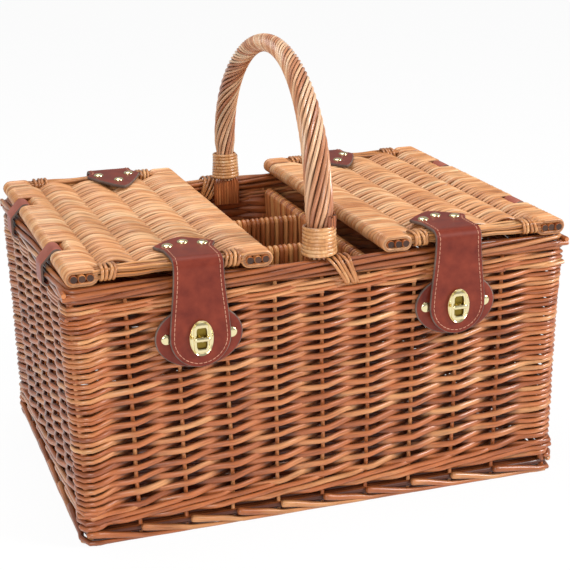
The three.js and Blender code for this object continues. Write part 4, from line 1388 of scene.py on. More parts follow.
@dataclass
class WovenLid(Woven):
    """A lid woven on sticks: weft loops, end bundles, middle sticks, edge rods and their bindings.

    X here runs from the lid's outer end towards the middle of the basket.
    """

    end: End
    posts: tuple[float, ...] = (47.5 * MM, 85 * MM, 123 * MM)
    weft_pitch: float = 12.6 * MM
    weft_depth: float = 1.95 * MM
    weft_narrow: float = 2.1 * MM
    weft_swell: float = 0.5 * MM
    band_swell: float = 0.65 * MM
    pair_half: float = 2.4 * MM
    ring_width: float = 1.6 * MM
    short_turn: float = 3 * MM
    slot_room: float = 3.8 * MM
    bow: tuple[float, ...] = (0.0, 3.6 * MM, 3.2 * MM)
    bow_run: float = 20 * MM
    stick: float = 3.5 * MM
    cut_reach: float = 1.5 * MM
    wrap_pitch: float = 3.4 * MM
    edge_rod: float = 2.0 * MM
    edge_out: float = 2 * MM
    recess: float = 2 * MM
    binding_width: float = 1.6 * MM
    binding_depth: float = 1.3 * MM
    binding_strands: int = 4
    binding_pitch: float = 3.7 * MM
    binding_round: float = 0.7
    loop_clear: float = 1.5 * MM
    loop_room: float = 2.9 * MM
    weft_wander: float = 0.85 * MM
    lift_wander: float = 0.05
    width_wander: float = 0.16
    edge_gap: float = 1 * MM
    ring_wander: float = 0.4 * MM
    wrap_margin: float = 2.8 * MM
    edge_past: float = 4 * MM
    edge_wander: tuple[float, float] = (1.1 * MM, 0.9 * MM)
    edge_swell: float = 0.15
    binding_room: tuple[float, float] = (0.8 * MM, 0.4 * MM)
    binding_wander: float = 0.9 * MM
    binding_lean: float = 1.2 * MM

    def __post_init__(self) -> None:
        """Reads the lid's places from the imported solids."""
        word = self.end.word
        low, high = box_of(f"lid_{word}_panel")
        self.middle = (low[2] + high[2]) / 2
        self.outer = self.end.value * max(abs(low[0]), abs(high[0]))
        self.length = high[0] - low[0]
        bundle_low, bundle_high = box_of(f"lid_{word}_outer_sticks")
        self.stick_half = bundle_high[1]
        stick_radius = (bundle_high[2] - bundle_low[2]) / 2
        edge = abs(self.outer) - max(abs(bundle_low[0]), abs(bundle_high[0]))
        self.first = edge + stick_radius
        self.last = self.first + (bundle_high[0] - bundle_low[0]) - 2 * stick_radius
        self.lift = stick_radius + self.weft_depth
        rods_low, rods_high = box_of(f"lid_{word}_front_rods")
        self.rods_y = (abs(rods_low[1]), abs(rods_high[1]))
        self.rods_x = sorted(abs(self.outer) - abs(x) for x in (rods_low[0], rods_high[0]))
        loop_low, loop_high = box_of(f"hinge_loop_{word}_rear")
        self.loop_y = (loop_low[1] - self.loop_clear, loop_high[1] + self.loop_clear)
        self.slot = self.first + stick_radius + self.slot_room

    def world(self, x: Array, y: Array, z: Array) -> Array:
        """Points in the basket's frame from places on the lid."""
        return xyz(self.outer - self.end.value * x, y, self.middle + z)

    def weft(self, rows: Array, pair: Array, start: float, reach: float, room: float) -> Surface:
        """Closed loops of weft: over and under the posts, round the end, and back the other way.

        At x the rod is lift cos(pi q) above the middle, where q counts posts from the outer bundle, and level
        over a bundle. It is widest where it tops a post, and over a bundle, where the pairs part and lie
        evenly. The way back is the same with the sign turned, half a pitch on.

        Args:
            rows: The loops' places along Y.
            pair: The side of its pair that each loop is on, -1 or 1.
            start: Where along X the loops begin to turn back.
            reach: How far they reach past that.
            room: The share of the room beside a leather loop that they leave it.

        Returns:
            The loops' skins.
        """
        finish = self.length - self.first
        flat_end = self.length - self.last
        knots = [self.first, self.last, *self.posts, flat_end, finish]
        x = np.linspace(start, finish, 60)
        q = np.interp(x, knots, [0, 0, 1, 2, 3, 4, 4])
        lift = self.lift * np.cos(np.pi * q)
        swell = np.cos(np.pi * q) ** 2
        over = smooth(np.abs(q - 2), 1.5, 2.0)
        turn = np.linspace(0, np.pi, 9)[1:-1]
        inner_x, inner_z = finish + lift[-1] * np.sin(turn), lift[-1] * np.cos(turn)
        outer_x, outer_z = start - reach * np.sin(turn), -lift[0] * np.cos(turn)
        whole_x = np.concatenate([x, inner_x, x[::-1], outer_x])
        whole_z = np.concatenate([lift, inner_z, -lift[::-1], outer_z])
        ends = np.ones(len(turn))
        top, band = (np.concatenate([run, ends, run[::-1], ends * run[0]]) for run in (swell, over))
        width = self.weft_narrow + self.weft_swell * top + self.band_swell * band
        crossing = np.linspace(0, 1, len(turn))
        back = np.concatenate([np.zeros(len(x)), crossing, np.ones(len(x)), 1 - crossing])
        shift = back * self.weft_pitch / 2
        steps = np.linspace(0, 9, len(whole_x))
        wander = self.weft_wander * ripple(self.rng, len(rows), steps, (1 / 3, 2 / 3, 4 / 3))
        y = rows[:, None] + shift + wander
        y = y + pair[:, None] * (self.weft_pitch / 4 - self.pair_half) * band
        y = y + room * self.beside_loops(y) * (1 - smooth(whole_x, self.slot, self.posts[0]))
        z = whole_z * (1 + self.lift_wander * ripple(self.rng, len(rows), steps, (1 / 9, 2 / 3)))
        width = width * (1 + self.width_wander * ripple(self.rng, len(rows), steps, (1 / 9, 4 / 9)))
        path = self.world(whole_x, y, z)
        tones = self.rng.random((2, len(rows), 1))
        tone = np.where(shift > self.weft_pitch / 4, tones[1], tones[0])
        along = np.gradient(path, axis=1)
        outward = np.cross(along, np.array([0.0, float(self.end.value), 0.0]))
        return tubes(path, outward, width, self.weft_depth, closed=True, tone=tone, groove=0.6)

    def weave(self) -> Surface:
        """All the weft, in pairs: full loops, and shorter ones where a leather loop takes the bundle.

        Returns:
            The rods' skins.
        """
        limit = min(self.rods_y) - self.pair_half - self.weft_narrow - self.edge_gap
        singles = np.arange(-limit, limit - self.weft_pitch / 2, self.weft_pitch)
        rows = np.concatenate([singles - self.pair_half, singles + self.pair_half])
        notched = self.at_loop(rows) | self.at_loop(rows + self.weft_pitch / 2)
        start = self.slot + self.weft_depth + self.short_turn
        pair = np.repeat([-1.0, 1.0], len(singles))
        whole = self.weft(rows[~notched], pair[~notched], self.first, self.lift, 1.0)
        short = self.weft(rows[notched], pair[notched], start, self.short_turn, 0.0)
        return Surface.joined([whole, short])

    def at_loop(self, y: Array) -> Array:
        """Whether places along Y lie at a leather loop."""
        return (np.abs(y) > self.loop_y[0]) & (np.abs(y) < self.loop_y[1])

    def beside_loops(self, y: Array) -> Array:
        """How far weft at places along Y has to move to leave the leather loop beside it its room.

        Args:
            y: The places.

        Returns:
            The moves along Y.
        """
        away = np.abs(y) - sum(self.loop_y) / 2
        half = (self.loop_y[1] - self.loop_y[0]) / 2 + self.loop_room
        return np.sign(y) * np.sign(away) * np.clip(half - np.abs(away), 0, None)

    def rings(self, rows: Array, inner: bool) -> Surface:
        """Rings of weft round a bundle: a level run above and below it, and half a circle round each side.

        Args:
            rows: The rings' places along Y.
            inner: Whether the bundle is the one at the middle of the basket.

        Returns:
            The rings' skins.
        """
        turn = np.linspace(0, np.pi, 9)
        x = np.concatenate([self.last + self.lift * np.sin(turn), self.first - self.lift * np.sin(turn)])
        z = np.concatenate([self.lift * np.cos(turn), -self.lift * np.cos(turn)])
        wander = self.ring_wander * ripple(self.rng, len(rows), np.linspace(0, 2, len(x)), (1, 2))
        y = rows[:, None] + wander
        path = self.world(self.length - x if inner else x, y, z)
        return tubes(path, from_middle(path, 1), self.ring_width, self.weft_depth, closed=True,
                     tone=self.rng.random(len(rows)), groove=0.7)

    def end_wraps(self) -> Surface:
        """Rings of weft round the ends of both bundles, past the edge rods.

        Returns:
            The rings' skins.
        """
        start, finish = min(self.rods_y) - self.edge_gap, self.stick_half - self.wrap_margin
        rows = np.arange(start, finish, self.wrap_pitch)
        wraps = [self.rings(side.value * rows, inner) for side in Side for inner in (False, True)]
        return Surface.joined(wraps)

    def sticks(
        self, places_x: Sequence[float], half: float, radius: float, bow: Sequence[float] | float = 0.0,
    ) -> Surface:
        """Rods along Y with trimmed ends that don't quite line up, pushed aside by the leather loops.

        Args:
            places_x: The rods' places along X.
            half: Half their length.
            radius: Their thickness.
            bow: How far a loop pushes each of them along X.

        Returns:
            The rods' skins, with the trimmed ends as a second finish.
        """
        x = np.array(places_x)
        trim = self.cut_reach * (self.rng.random((len(x), 2)) - 0.7)
        ends = np.stack([-half - trim[:, 0], half + trim[:, 1]], 1)
        share = np.concatenate([[0.0], np.linspace(0.004, 0.996, 49), [1.0]])
        y = ends[:, :1] + (ends[:, 1:] - ends[:, :1]) * share
        push = np.exp(-(((np.abs(y) - sum(self.loop_y) / 2) / self.bow_run) ** 2))
        path = self.world(x[:, None] + np.broadcast_to(bow, x.shape)[:, None] * push, y, np.zeros_like(y))
        thick = radius * np.where((share == 0) | (share == 1), 0.86, 1.0) * np.ones((len(x), 1))
        return tubes(path, UP, thick, sides=12, tone=0.6 * self.rng.random(len(x)), cap_zone=1)

    def edge_rods(self, side: Side) -> Surface:
        """Thin rods laid side by side along a long edge in two layers, a little wavy.

        Args:
            side: The side of the basket.

        Returns:
            The rods' skins.
        """
        low, high = min(self.rods_y) + self.edge_rod, max(self.rods_y) - self.edge_rod
        y = np.repeat(np.linspace(low, high, 3) + self.edge_out, 2)[:, None]
        z = np.tile([1.0, -0.1], 3)[:, None] * 2 * self.edge_rod
        x = np.linspace(self.rods_x[0] - self.edge_past, self.rods_x[1] + self.edge_past, 24)
        steps = np.linspace(0, 3, len(x))
        wave, rise = (wander * ripple(self.rng, len(y), steps) for wander in self.edge_wander)
        path = self.world(x, side.value * (y + wave), z + rise)
        thick = self.edge_rod * (1 + self.edge_swell * ripple(self.rng, len(y), np.linspace(0, 2, len(x))))
        return tubes(path, UP, thick, tone=self.rng.random(len(y)), groove=0.7)

    def binding(self, side: Side, middle: float) -> Surface:
        """Loops of cane round the edge rods, side by side, each bulging a little of its own way.

        Args:
            side: The side of the basket.
            middle: The binding's place along X.

        Returns:
            The loops' skins.
        """
        t = np.linspace(0, TAU, 32, endpoint=False)
        half_y = (max(self.rods_y) - min(self.rods_y)) / 2 + self.binding_room[0]
        half_z = 2.1 * self.edge_rod + self.binding_depth + self.binding_room[1]
        round_y, round_z = (rounded(wave, self.binding_round) for wave in (np.cos(t), np.sin(t)))
        wander = self.binding_wander * ripple(self.rng, self.binding_strands, t / TAU, (1, 2))
        lean = wander + self.binding_lean * round_z
        x = middle + numbered(self.binding_strands) * self.binding_pitch + lean
        y = side.value * (sum(self.rods_y) / 2 + self.edge_out + half_y * round_y)
        path = self.world(x, y, 0.9 * self.edge_rod + half_z * round_z)
        return tubes(path, from_middle(path, 0), self.binding_width, self.binding_depth, closed=True,
                     tone=self.rng.random(self.binding_strands), groove=0.7)

    def build(self) -> None:
        """Makes the lid's pieces and lets them ride on it."""
        done, word = self.finishes, self.end.word
        body = f"lid_{word}"
        weave = Surface.joined([self.weave(), self.end_wraps()])
        place(weave.piece(f"{body}_weft", [done.lid]), body, Slot.LID, f"{body}_panel")
        bundle = np.linspace(self.first, self.last, 3)
        for name, at, bow in (("outer", bundle, self.bow), ("inner", self.length - bundle, 0.0)):
            rods = self.sticks(at, self.stick_half - self.recess, self.lift - self.weft_depth, bow)
            bundled = rods.piece(f"{body}_{name}_bundle", [done.inside, done.cut_end])
            place(bundled, body, Slot.LID, f"{body}_{name}_sticks")
        middle = self.sticks(self.posts, min(self.rods_y), self.stick)
        place(middle.piece(f"{body}_middle_sticks", [done.inside, done.cut_end]), body, Slot.LID)
        for side in Side:
            rods = self.edge_rods(side).piece(f"{body}_{side.word}_edge", [done.edge])
            place(rods, body, Slot.LID, f"{body}_{side.word}_rods")
            for name in ("outer", "inner"):
                node = f"{body}_binding_{side.word}_{name}"
                low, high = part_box(node)
                at = abs(self.outer) - abs(low.x + high.x) / 2
                cane = self.binding(side, at).piece(f"{body}_cane_{side.word}_{name}", [done.lashing])
                place(cane, body, Slot.CANE, node)


# Leather and brass


@dataclass
class Fitting:
    """What every fitting of leather or brass knows: its finishes and where on the basket it is."""

    finishes: Finishes
    end: End
    side: Side

    @property
    def name(self) -> str:
        """The words for the fitting's end and side, as the solids' names have them."""
        return f"{self.end.word}_{self.side.word}"


@dataclass
class HingeLoop(Fitting):
    """A leather band round the rim and the lid's outermost stick, which turns inside it."""

    leather: float = 2.8 * MM
    run: float = 0.5 * MM
    wrap: float = np.radians(138)
    edge_from: float = np.radians(72)
    steps: int = 96
    sides: int = 20

    def __post_init__(self) -> None:
        """Reads the rim's, the stick's and the band's places from the solids, with X counted outwards."""
        self.node = f"hinge_loop_{self.name}"
        low, high = box_of(self.node)
        self.wide = (low[1], high[1])
        half = self.leather / 2
        outward = sorted(abs(x) for x in (low[0], high[0]))
        self.inside, self.outside = outward[0] + half, outward[1] - half
        self.under = low[2] + half
        bundle_low, bundle_high = box_of(f"lid_{self.end.word}_outer_sticks")
        stick = (bundle_high[2] - bundle_low[2]) / 2
        self.radius = stick + self.run + half
        self.pivot = np.array([max(abs(bundle_low[0]), abs(bundle_high[0])) - stick, bundle_low[2] + stick])
        rim_low, rim_high = box_of("rim_border")
        self.rim_top, self.rim_depth = rim_high[2], rim_high[2] - rim_low[2]

    def route(self) -> Array:
        """The band's middle line in X and Z: up inside the rim, round the stick, out and down outside.

        Returns:
            Points at even steps.
        """
        angle = np.linspace(np.pi, np.pi - self.wrap, 24)
        arc = self.pivot + self.radius * np.stack([np.cos(angle), np.sin(angle)], -1)
        last_x, last_z = arc[-1]
        meet = last_z + (self.outside - last_x) / np.tan(self.wrap)
        up = [[self.inside, self.under], [self.inside, self.rim_top - self.rim_depth / 4]]
        down = [[self.outside, meet], [self.outside, self.under + self.leather]]
        under = [[self.outside - self.leather, self.under]]
        corners = np.concatenate([up, arc, down, under])
        closed = np.concatenate([corners, corners[:1]])
        walked = walked_along(closed)
        even = np.linspace(0, walked[-1], self.steps, endpoint=False)
        line = np.stack([np.interp(even, walked, closed[:, k]) for k in range(2)], -1)
        for _ in range(3):
            line = (np.roll(line, 1, 0) + 2 * line + np.roll(line, -1, 0)) / 4
        return line

    def build(self) -> None:
        """Carries the band's flat section round the route."""
        line = self.route()
        sign = self.end.value
        path = xyz(sign * line[:, 0], sum(self.wide) / 2, line[:, 1])
        outward = np.cross(np.roll(path, -1, 0) - np.roll(path, 1, 0), [0.0, 1.0, 0.0]) * sign
        angle = np.pi + TAU * (np.arange(self.sides) + 0.5) / self.sides
        zone = (np.abs(np.sin(angle)) > np.sin(self.edge_from)).astype(int)
        half = (self.wide[1] - self.wide[0]) / 2
        band = tubes(path[None], outward[None], half, self.leather / 2, sides=self.sides, closed=True,
                     zone=zone, squareness=0.3)
        # The band takes the lighter loop leather, a painted highlight.
        piece = band.piece(f"{self.node}_band", [self.finishes.loop_leather, self.finishes.raw_edge])
        place(piece, "basket", Slot.LEATHER, self.node)


@dataclass(frozen=True)
class StrapEnd:
    """How far in from the lid's edge a strap's shoulder, point and rivets lie."""

    shoulder: float
    point: float
    outer_rivet: float
    middle_rivet: float


@dataclass
class Strap(Fitting):
    """A closing strap: one piece of leather from its point on the lid, over the edge, to the lock."""

    leather: float = 3.0 * MM
    lid_gap: float = 0.3 * MM
    bend: float = 7.5 * MM
    narrow: float = 22.5 * MM
    round_end: float = 27.5 * MM
    flare: float = 28 * MM
    flare_run: float = 16 * MM
    edge_round: float = 0.7 * MM
    stitch_in: float = 3.6 * MM
    stitch_pitch: float = 4.2 * MM
    stitch_length: float = 3.0 * MM
    stitch_half: float = 0.38 * MM
    stitch_sink: float = 0.25 * MM
    stitch_rise: float = 0.5 * MM
    seam_start: float = 5 * MM
    widen: tuple[float, float] = (62 * MM, 6 * MM)
    edge_flank: float = 0.55
    rivet: float = 5.1 * MM
    rivet_rise: float = 2.2 * MM
    rivet_spread: float = 16 * MM
    hinge_run: float = 9 * MM
    rows: int = 110
    columns: int = 27

    def __post_init__(self) -> None:
        """Reads the strap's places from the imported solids."""
        top_low, top_high = box_of(f"strap_top_{self.name}")
        flap_low, flap_high = box_of(f"strap_flap_{self.name}")
        self.middle = (top_low[0] + top_high[0]) / 2
        self.outer = max(abs(flap_low[1]), abs(flap_high[1])) - self.leather / 2
        self.bend_start = self.outer - self.bend
        self.level = box_of(f"lid_{self.end.word}_panel")[1][2] + self.lid_gap + self.leather / 2
        self.arc = self.bend * np.pi / 2
        self.butt = flap_high[2]
        self.finish = self.arc + (self.level - self.bend) - flap_low[2]
        self.lid_edge = abs(box_of(f"lid_{self.end.word}_outer_sticks")[1][1])
        self.shape = {
            Side.FRONT: StrapEnd(42 * MM, 64 * MM, 38 * MM, 46 * MM),
            Side.REAR: StrapEnd(28 * MM, 80 * MM, 27 * MM, 52 * MM),
        }[self.side]
        self.shoulder = self.lid_edge - self.shape.shoulder - self.bend_start
        self.point = self.lid_edge - self.shape.point - self.bend_start

    def fold(self, x: Array, t: Array, off: Array | float = 0.0) -> Array:
        """Points on the folded leather: level on the lid, a quarter circle over the edge, then straight down.

        Args:
            x: Places across the strap.
            t: Distances along its middle surface from the start of the bend.
            off: Heights above the middle surface.

        Returns:
            Points in the basket's frame.
        """
        angle = np.clip(t / self.bend, 0, np.pi / 2)
        before, after = np.minimum(t, 0), np.maximum(t - self.arc, 0)
        y = self.bend_start + before + (self.bend + off) * np.sin(angle)
        z = self.level - self.bend + (self.bend + off) * np.cos(angle) - after
        return xyz(self.middle + x, self.side.value * y, z)

    def half_width(self, t: Array) -> Array:
        """The strap's half-width along it: full at the ears, narrow over the edge, full at the round end.

        Args:
            t: Distances along the strap.

        Returns:
            The half-widths.
        """
        ears = smooth(t, self.shoulder + self.flare_run, self.shoulder)
        low = self.finish - self.round_end
        end = smooth(t, low - self.widen[0], low + self.widen[1])
        return self.narrow + (self.flare - self.narrow) * ears + (self.round_end - self.narrow) * end

    def sheet(self, inset: float, off: float) -> Array:
        """A grid over the strap's outline: rows along it between its two end curves, columns across it.

        The near end is a shallow point, the far end half a circle; columns bunch towards the edges as a sine.

        Args:
            inset: How far inside the outline it stays.
            off: Its height.

        Returns:
            The grid's points.
        """
        v = np.sin(np.linspace(-np.pi / 2, np.pi / 2, self.columns))
        near = self.point + (self.shoulder - self.point) * np.abs(v) ** 1.35 + inset
        far = self.finish - self.round_end + np.sqrt(np.clip(1 - v * v, 0, 1)) * self.round_end - inset
        share = np.linspace(0, 1, self.rows)[:, None]
        t = near + (far - near) * share
        x = v * (self.half_width(t) - inset)
        return self.fold(x, t, off)

    def shell(self) -> Surface:
        """The leather as a closed shell: outer face, inner face and a rounded raw edge between them.

        Returns:
            The shell, with the raw edge as a second finish.
        """
        half = self.leather / 2
        layers = [self.sheet(self.edge_round, half), self.sheet(self.edge_round, -half)]
        if self.side is Side.FRONT:
            layers = [layer[:, ::-1] for layer in layers]
        outer = grids(layers[0][None])
        inner = grids(layers[1][None, :, ::-1])
        edges = []
        flank = self.edge_flank * half
        for inset, off in ((self.edge_round, half), (0.0, flank), (0.0, -flank), (self.edge_round, -half)):
            layer = self.sheet(inset, off)
            layer = layer[:, ::-1] if self.side is Side.FRONT else layer
            edges.append(np.concatenate([layer[0, :-1], layer[:-1, -1], layer[-1, :0:-1], layer[:0:-1, 0]]))
        rim = grids(np.stack(edges)[None], close_columns=True, zone=1)
        return Surface.joined([outer, inner, rim])

    def stitch_line(self) -> Array:
        """The seam's line across and along the strap: down one side, round the end and up the other side.

        Returns:
            Rows of a place across and a distance along.
        """
        low = self.finish - self.round_end
        t = np.linspace(self.shoulder + self.seam_start, low, 80)
        side = np.stack([self.half_width(t) - self.stitch_in, t], -1)
        angle = np.linspace(0, np.pi, 60)[1:-1]
        reach = self.round_end - self.stitch_in
        end = np.stack([reach * np.cos(angle), low + reach * np.sin(angle)], -1)
        return np.concatenate([side, end, side[::-1] * [-1, 1]])

    def stitches(self) -> Surface:
        """Short threads along the seam, each rising from the leather and going back in.

        Returns:
            The threads' skins.
        """
        line = self.stitch_line()
        walked = walked_along(line)
        count = int(walked[-1] / self.stitch_pitch)
        share = np.linspace(0, 1, 5)
        at = (np.arange(count) * self.stitch_pitch)[:, None] + self.stitch_length * share
        x, t = (np.interp(at, walked, line[:, k]) for k in range(2))
        lift = self.leather / 2 - self.stitch_sink + self.stitch_rise * np.sin(np.pi * share)
        path = self.fold(x, t, lift)
        outward = self.fold(x, t, lift + 1 * MM) - path
        return tubes(path, outward, self.stitch_half, sides=6)

    def rivets(self) -> Surface:
        """Domed heads on the lid end: two outside and one in the middle.

        Returns:
            The heads' skins.
        """
        shape, top = self.shape, self.level + self.leather / 2
        places = [(-1, shape.outer_rivet), (0, shape.middle_rivet), (1, shape.outer_rivet)]
        centres = [
            (self.middle + across * self.rivet_spread, self.side.value * (self.lid_edge - into), top)
            for across, into in places
        ]
        return turned(rivet_profile(self.rivet, self.rivet_rise), np.array(centres), UP)

    def build(self) -> None:
        """Makes the strap, its seam and its rivets."""
        done = self.finishes
        lid, flap = f"lid_{self.end.word}", f"strap_{self.name}"
        leather = self.shell().piece(f"strap_leather_{self.name}", [done.leather, done.raw_edge], 60.0)
        seam = self.stitches().piece(f"strap_seam_{self.name}", [done.thread])
        for piece in (leather, seam):
            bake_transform(piece)
        both = f"{lid} and {flap}"
        nodes = [f"strap_top_{self.name}", f"strap_flap_{self.name}"]
        place(leather, both, Slot.LEATHER, *nodes, blended=True)
        place(seam, both, Slot.LEATHER, blended=True)
        place(self.rivets().piece(f"strap_rivets_{self.name}", [done.brass]), lid, Slot.BRASS)


def rivet_profile(radius: float, rise: float) -> Array:
    """A rivet head's outline, radius and height: a straight foot, then a quarter ellipse to the crown.

    Args:
        radius: The head's radius.
        rise: The head's height.

    Returns:
        Rows of radius and height.
    """
    angle = np.linspace(0.12, np.pi / 2 - 0.05, 8)
    dome = np.stack([radius * np.cos(angle) ** 0.8, rise * np.sin(angle)], -1)
    foot = np.array([[0.1 * radius, -0.3 * MM], [0.98 * radius, -0.3 * MM], [radius, 0.05 * rise]])
    return np.concatenate([foot, dome])


@dataclass
class WallTab(Fitting):
    """The leather tab riveted to the wall behind a lock."""

    leather: float = 3.0 * MM
    rivet: float = 5.0 * MM
    rivet_rise: float = 2.0 * MM
    rivet_half: float = 29.5 * MM

    def build(self) -> None:
        """Carries the edge profile round an oval, and sets two domed rivets."""
        node = f"wall_tab_{self.name}"
        low, high = box_of(node)
        centre, half = (low + high) / 2, (high - low) / 2
        wall = low[1] if self.side is Side.REAR else high[1]
        out = float(self.side.value)
        angle = -out * TAU * np.arange(64) / 64
        share = np.array([0.03, 0.4, 0.8, 0.975, 1.0, 1.0, 0.975, 0.5, 0.03])
        height = np.array([1.0, 1.0, 1.0, 1.0, 0.75, 0.25, 0.0, 0.0, 0.0]) * self.leather
        x = centre[0] + share[:, None] * half[0] * np.cos(angle)
        z = centre[2] + share[:, None] * half[2] * np.sin(angle)
        rows = xyz(x, wall + out * height[:, None], z)
        tab = grids(rows[None, ::-1], False, True, True)
        edge = np.repeat(np.arange(len(share) - 1)[::-1], len(angle))
        tab.zone[: len(edge)] = np.isin(edge, [3, 4, 5]).astype(int)
        piece = tab.piece(f"{node}_leather", [self.finishes.leather, self.finishes.raw_edge], 60.0)
        place(piece, "basket", Slot.LEATHER, node)
        face = wall + out * self.leather
        centres = np.array([[centre[0] + s * self.rivet_half, face, centre[2]] for s in (-1, 1)])
        rivets = turned(rivet_profile(self.rivet, self.rivet_rise), centres, np.array([0.0, out, 0.0]))
        place(rivets.piece(f"{node}_rivets", [self.finishes.brass]), "basket", Slot.BRASS)


@dataclass
class TurnLock(Fitting):
    """The oval plate on a strap and the turn button in its slot."""

    slot_half: tuple[float, float] = (4.6 * MM, 9.6 * MM)
    slot_round: float = 0.28
    frame: float = 1.6 * MM
    frame_rise: float = 1.2 * MM
    well: float = 1.2 * MM
    lip: float = 0.25 * MM
    bar_depth: float = 1.7 * MM
    bar_half: float = 2.4 * MM
    stem: float = 2.3 * MM
    columns: int = 72

    def __post_init__(self) -> None:
        """Reads the lock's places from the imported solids."""
        low, high = box_of(f"lock_plate_{self.name}")
        self.centre, self.half = (low + high) / 2, (high - low) / 2
        self.out = float(self.side.value)
        self.back = high[1] if self.side is Side.FRONT else low[1]
        self.thick = 2 * self.half[1] - self.frame_rise

    def ring(self, share: float, scale: float, height: float) -> Array:
        """A ring between the slot and the plate's oval.

        Args:
            share: 0 at the slot's outline, 1 at the oval.
            scale: A scale on the slot's outline.
            height: The ring's height above the plate's back.

        Returns:
            The ring's points.
        """
        angle = -self.out * TAU * np.arange(self.columns) / self.columns
        cosine, sine = np.cos(angle), np.sin(angle)
        slot_x = self.slot_half[0] * rounded(cosine, self.slot_round) * scale
        slot_z = self.slot_half[1] * rounded(sine, self.slot_round) * scale
        x = slot_x + (self.half[0] * cosine - slot_x) * share
        z = slot_z + (self.half[2] * sine - slot_z) * share
        return xyz(self.centre[0] + x, self.back + self.out * height, self.centre[2] + z)

    def plate(self) -> Surface:
        """The plate: from the well's floor up the slot, over the frame, out to the oval and to the back.

        Returns:
            The plate, with the well as a second finish.
        """
        top, raised = self.thick, self.thick + self.frame_rise
        floor, lip = top - self.well, raised - self.lip
        frame = 1 + self.frame / self.slot_half[0]
        outline = [
            (0, 0.04, floor), (0, 0.97, floor), (0, 1.0, lip), (0, 1.05, raised),
            (0, frame - 0.06, raised), (0, frame, lip), (0.2, frame, top - 0.35 * MM),
            (0.55, 1.12, top - 0.45 * MM), (0.78, 1.0, top - 0.3 * MM), (0.86, 1.0, top + 0.2 * MM),
            (0.93, 1.0, top + 0.35 * MM), (0.98, 1.0, top), (1.0, 1.0, 0.45 * top),
            (0.97, 1.0, 0.0), (0.5, 1.0, 0.0), (0, 0.04, 0.0),
        ]
        plate = grids(np.stack([self.ring(*row) for row in outline])[None, ::-1], False, True, True)
        band = np.repeat(np.arange(len(outline) - 1)[::-1], self.columns)
        plate.zone[: len(band)] = (band < 2).astype(int)
        return plate

    def button(self) -> Surface:
        """A bar with rounded ends across the slot, on a round stem.

        Returns:
            The button's skin.
        """
        low, high = box_of(f"turn_button_{self.name}")
        front, back = (low[1], high[1]) if self.side is Side.FRONT else (high[1], low[1])
        half = (high - low) / 2
        bar_y = front - self.out * self.bar_depth
        x = half[0] * np.sin(np.linspace(-np.pi / 2, np.pi / 2, 19))
        share = np.clip(1 - np.abs(x / half[0]) ** 4, 0.02, 1) ** 0.5
        path = xyz(self.centre[0] + x, bar_y, self.centre[2])
        waist = 0.75 + 0.25 * np.abs(x / half[0])
        width, depth = self.bar_half * share * waist, self.bar_depth * share
        bar = tubes(path[None], np.array([0.0, self.out, 0.0]), width, depth, sides=14, squareness=0.75)
        stem = xyz(self.centre[0], np.array([back, bar_y]), self.centre[2])
        pin = tubes(stem[None], UP, self.stem, sides=16)
        return Surface.joined([bar, pin])

    def build(self) -> None:
        """Makes the plate and the button."""
        done = self.finishes
        plate = self.plate().piece(f"lock_oval_{self.name}", [done.brass, done.dark_brass], 40.0)
        place(plate, f"strap_{self.name}", Slot.BRASS, f"lock_plate_{self.name}")
        button = self.button().piece(f"lock_toggle_{self.name}", [done.brass], 40.0)
        place(button, f"button_{self.name}", Slot.BRASS, f"turn_button_{self.name}")


# The studio


@dataclass(frozen=True)
class Lamp:
    """A soft square lamp that looks at the basket."""

    name: str
    place: tuple[float, float, float]
    target: tuple[float, float, float]
    size: float
    watts: float

    def build(self) -> None:
        """Makes the lamp."""
        data = bpy.data.lights.new(self.name, "AREA")
        data.size = self.size
        data.energy = self.watts
        back = unit(np.array(self.place) - np.array(self.target))
        right = unit(np.cross(UP, back))
        stand(self.name, data, (right, np.cross(back, right), back), self.place)


def stand(name: str, data: bpy.types.ID, axes: Sequence[Array], at: Sequence[float]) -> bpy.types.Object:
    """Puts a lamp or a camera into the scene.

    Args:
        name: The object's name.
        data: The lamp or the camera.
        axes: The directions of its own X, Y and Z.
        at: Its place.

    Returns:
        The new object.
    """
    whole = np.eye(4)
    whole[:3] = np.stack([*axes, at], -1)
    made = bpy.data.objects.new(name, data)
    made.matrix_world = Matrix(whole.tolist())
    bpy.context.scene.collection.objects.link(made)
    return made


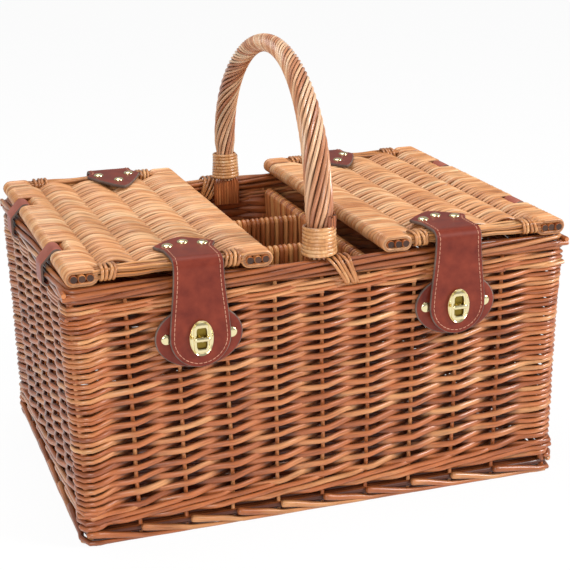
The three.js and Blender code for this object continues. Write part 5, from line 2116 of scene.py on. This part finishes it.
@dataclass
class Studio:
    """White surroundings, soft lamps and a camera at the photograph's angle."""

    camera_place: tuple[float, float, float] = (-0.4290, -1.3095, 0.6062)
    azimuth: float = np.radians(-18.812)
    elevation: float = np.radians(17.707)
    roll: float = np.radians(-0.751)
    focal_pixels: float = 1434.4
    frame_pixels: float = 570.0
    sensor: float = 36.0
    floor_half: float = 12.0
    floor_white: float = 0.94
    ambient: float = 0.37
    lamps: tuple[Lamp, ...] = (
        Lamp("key_lamp", (1.9, -1.3, 1.4), (0, 0, 0.15), 0.7, 56),
        Lamp("left_lamp", (-1.3, -1.9, 1.0), (0, 0, 0.15), 0.8, 21),
        Lamp("top_lamp", (-0.3, 0.4, 2.2), (0, 0, 0.2), 1.4, 26),
    )

    def camera(self) -> None:
        """Places the camera: looking back along the view direction, then rolled."""
        data = bpy.data.cameras.new("camera")
        data.sensor_width = self.sensor
        data.lens = self.sensor * self.focal_pixels / self.frame_pixels
        az, el = self.azimuth, self.elevation
        back = np.array([np.sin(az) * np.cos(el), -np.cos(az) * np.cos(el), np.sin(el)])
        right = unit(np.cross(UP, back))
        up = np.cross(back, right)
        rolled_right = np.cos(self.roll) * right + np.sin(self.roll) * up
        rolled_up = -np.sin(self.roll) * right + np.cos(self.roll) * up
        axes = (rolled_right, rolled_up, back)
        bpy.context.scene.camera = stand("camera", data, axes, self.camera_place)

    def world(self) -> None:
        """White where it is seen, a plain even light elsewhere."""
        world = bpy.data.worlds.new("studio")
        bpy.context.scene.world = world
        sheet = NodeSheet(world)
        sheet.tree.nodes.clear()
        plain, white = (
            sheet.add("Background", {"Color": (1, 1, 1, 1), "Strength": strength}).outputs[0]
            for strength in (self.ambient, 1.0)
        )
        seen = sheet.add("LightPath").outputs["Is Camera Ray"]
        mix = sheet.add("MixShader", {"Fac": seen, 1: plain, 2: white}).outputs[0]
        sheet.add("OutputWorld", {"Surface": mix})

    def floor(self) -> None:
        """A pale floor that shows as white to camera, glossy and transmission rays but keeps some shadow."""
        half = self.floor_half
        corners = np.array([[-half, -half, 0], [half, -half, 0], [-half, half, 0], [half, half, 0]], float)
        floor = grids(corners.reshape(1, 2, 2, 3)[:, :, ::-1]).piece("floor", [])
        sheet = NodeSheet(bpy.data.materials.new("floor_white"))
        pale = {"Base Color": (0.95, 0.95, 0.95, 1), "Roughness": 0.9, "Specular IOR Level": 0.0}
        floor.data.materials.append(sheet.finish(pale))
        rays = sheet.add("LightPath").outputs
        seen = rays["Is Camera Ray"]
        for ray in ("Is Glossy Ray", "Is Transmission Ray"):
            seen = sheet.add("Math", {0: seen, 1: rays[ray]}, operation="MAXIMUM").outputs[0]
        share = sheet.add("Math", {0: seen, 1: self.floor_white}, operation="MULTIPLY").outputs[0]
        white = sheet.add("Emission", {"Strength": 1.0}).outputs[0]
        mix = sheet.add("MixShader", {"Fac": share, 1: sheet.shader.outputs[0], 2: white}).outputs[0]
        sheet.feed(sheet.tree.nodes["Material Output"], "Surface", mix)

    def build(self) -> None:
        """Makes the camera, the surroundings and the lamps."""
        bpy.context.scene.view_settings.view_transform = "Standard"
        self.camera()
        self.world()
        self.floor()
        for lamp in self.lamps:
            lamp.build()


@dataclass
class Basket:
    """The whole basket, built sub-assembly by sub-assembly."""

    finishes: Finishes = field(default_factory=Finishes)
    rng: np.random.Generator = field(default_factory=lambda: np.random.default_rng(SEED))

    def wall_line(self) -> WallLine:
        """The walls' line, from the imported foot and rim.

        Returns:
            The line.
        """
        foot_half = box_of("foot_border")[1][:2]
        rim_top = box_of("rim_border")[1]
        return WallLine(foot_half, rim_top[:2], float(rim_top[2]))

    def build(self) -> None:
        """Builds every sub-assembly."""
        WovenBody(self.finishes, self.rng, self.wall_line()).build()
        RimBorder(self.finishes, self.rng).build()
        Interior(self.finishes, self.rng).build()
        BowHandle(self.finishes, self.rng).build()
        for end in End:
            WovenLid(self.finishes, self.rng, end).build()
            for side in Side:
                HingeLoop(self.finishes, end, side).build()
                Strap(self.finishes, end, side).build()
                WallTab(self.finishes, end, side).build()
                TurnLock(self.finishes, end, side).build()


def main() -> None:
    """Builds the studio and the basket."""
    logging.basicConfig(level=logging.INFO, format="%(name)s: %(message)s")
    Studio().build()
    Basket().build()


if __name__ == "__main__":
    main()
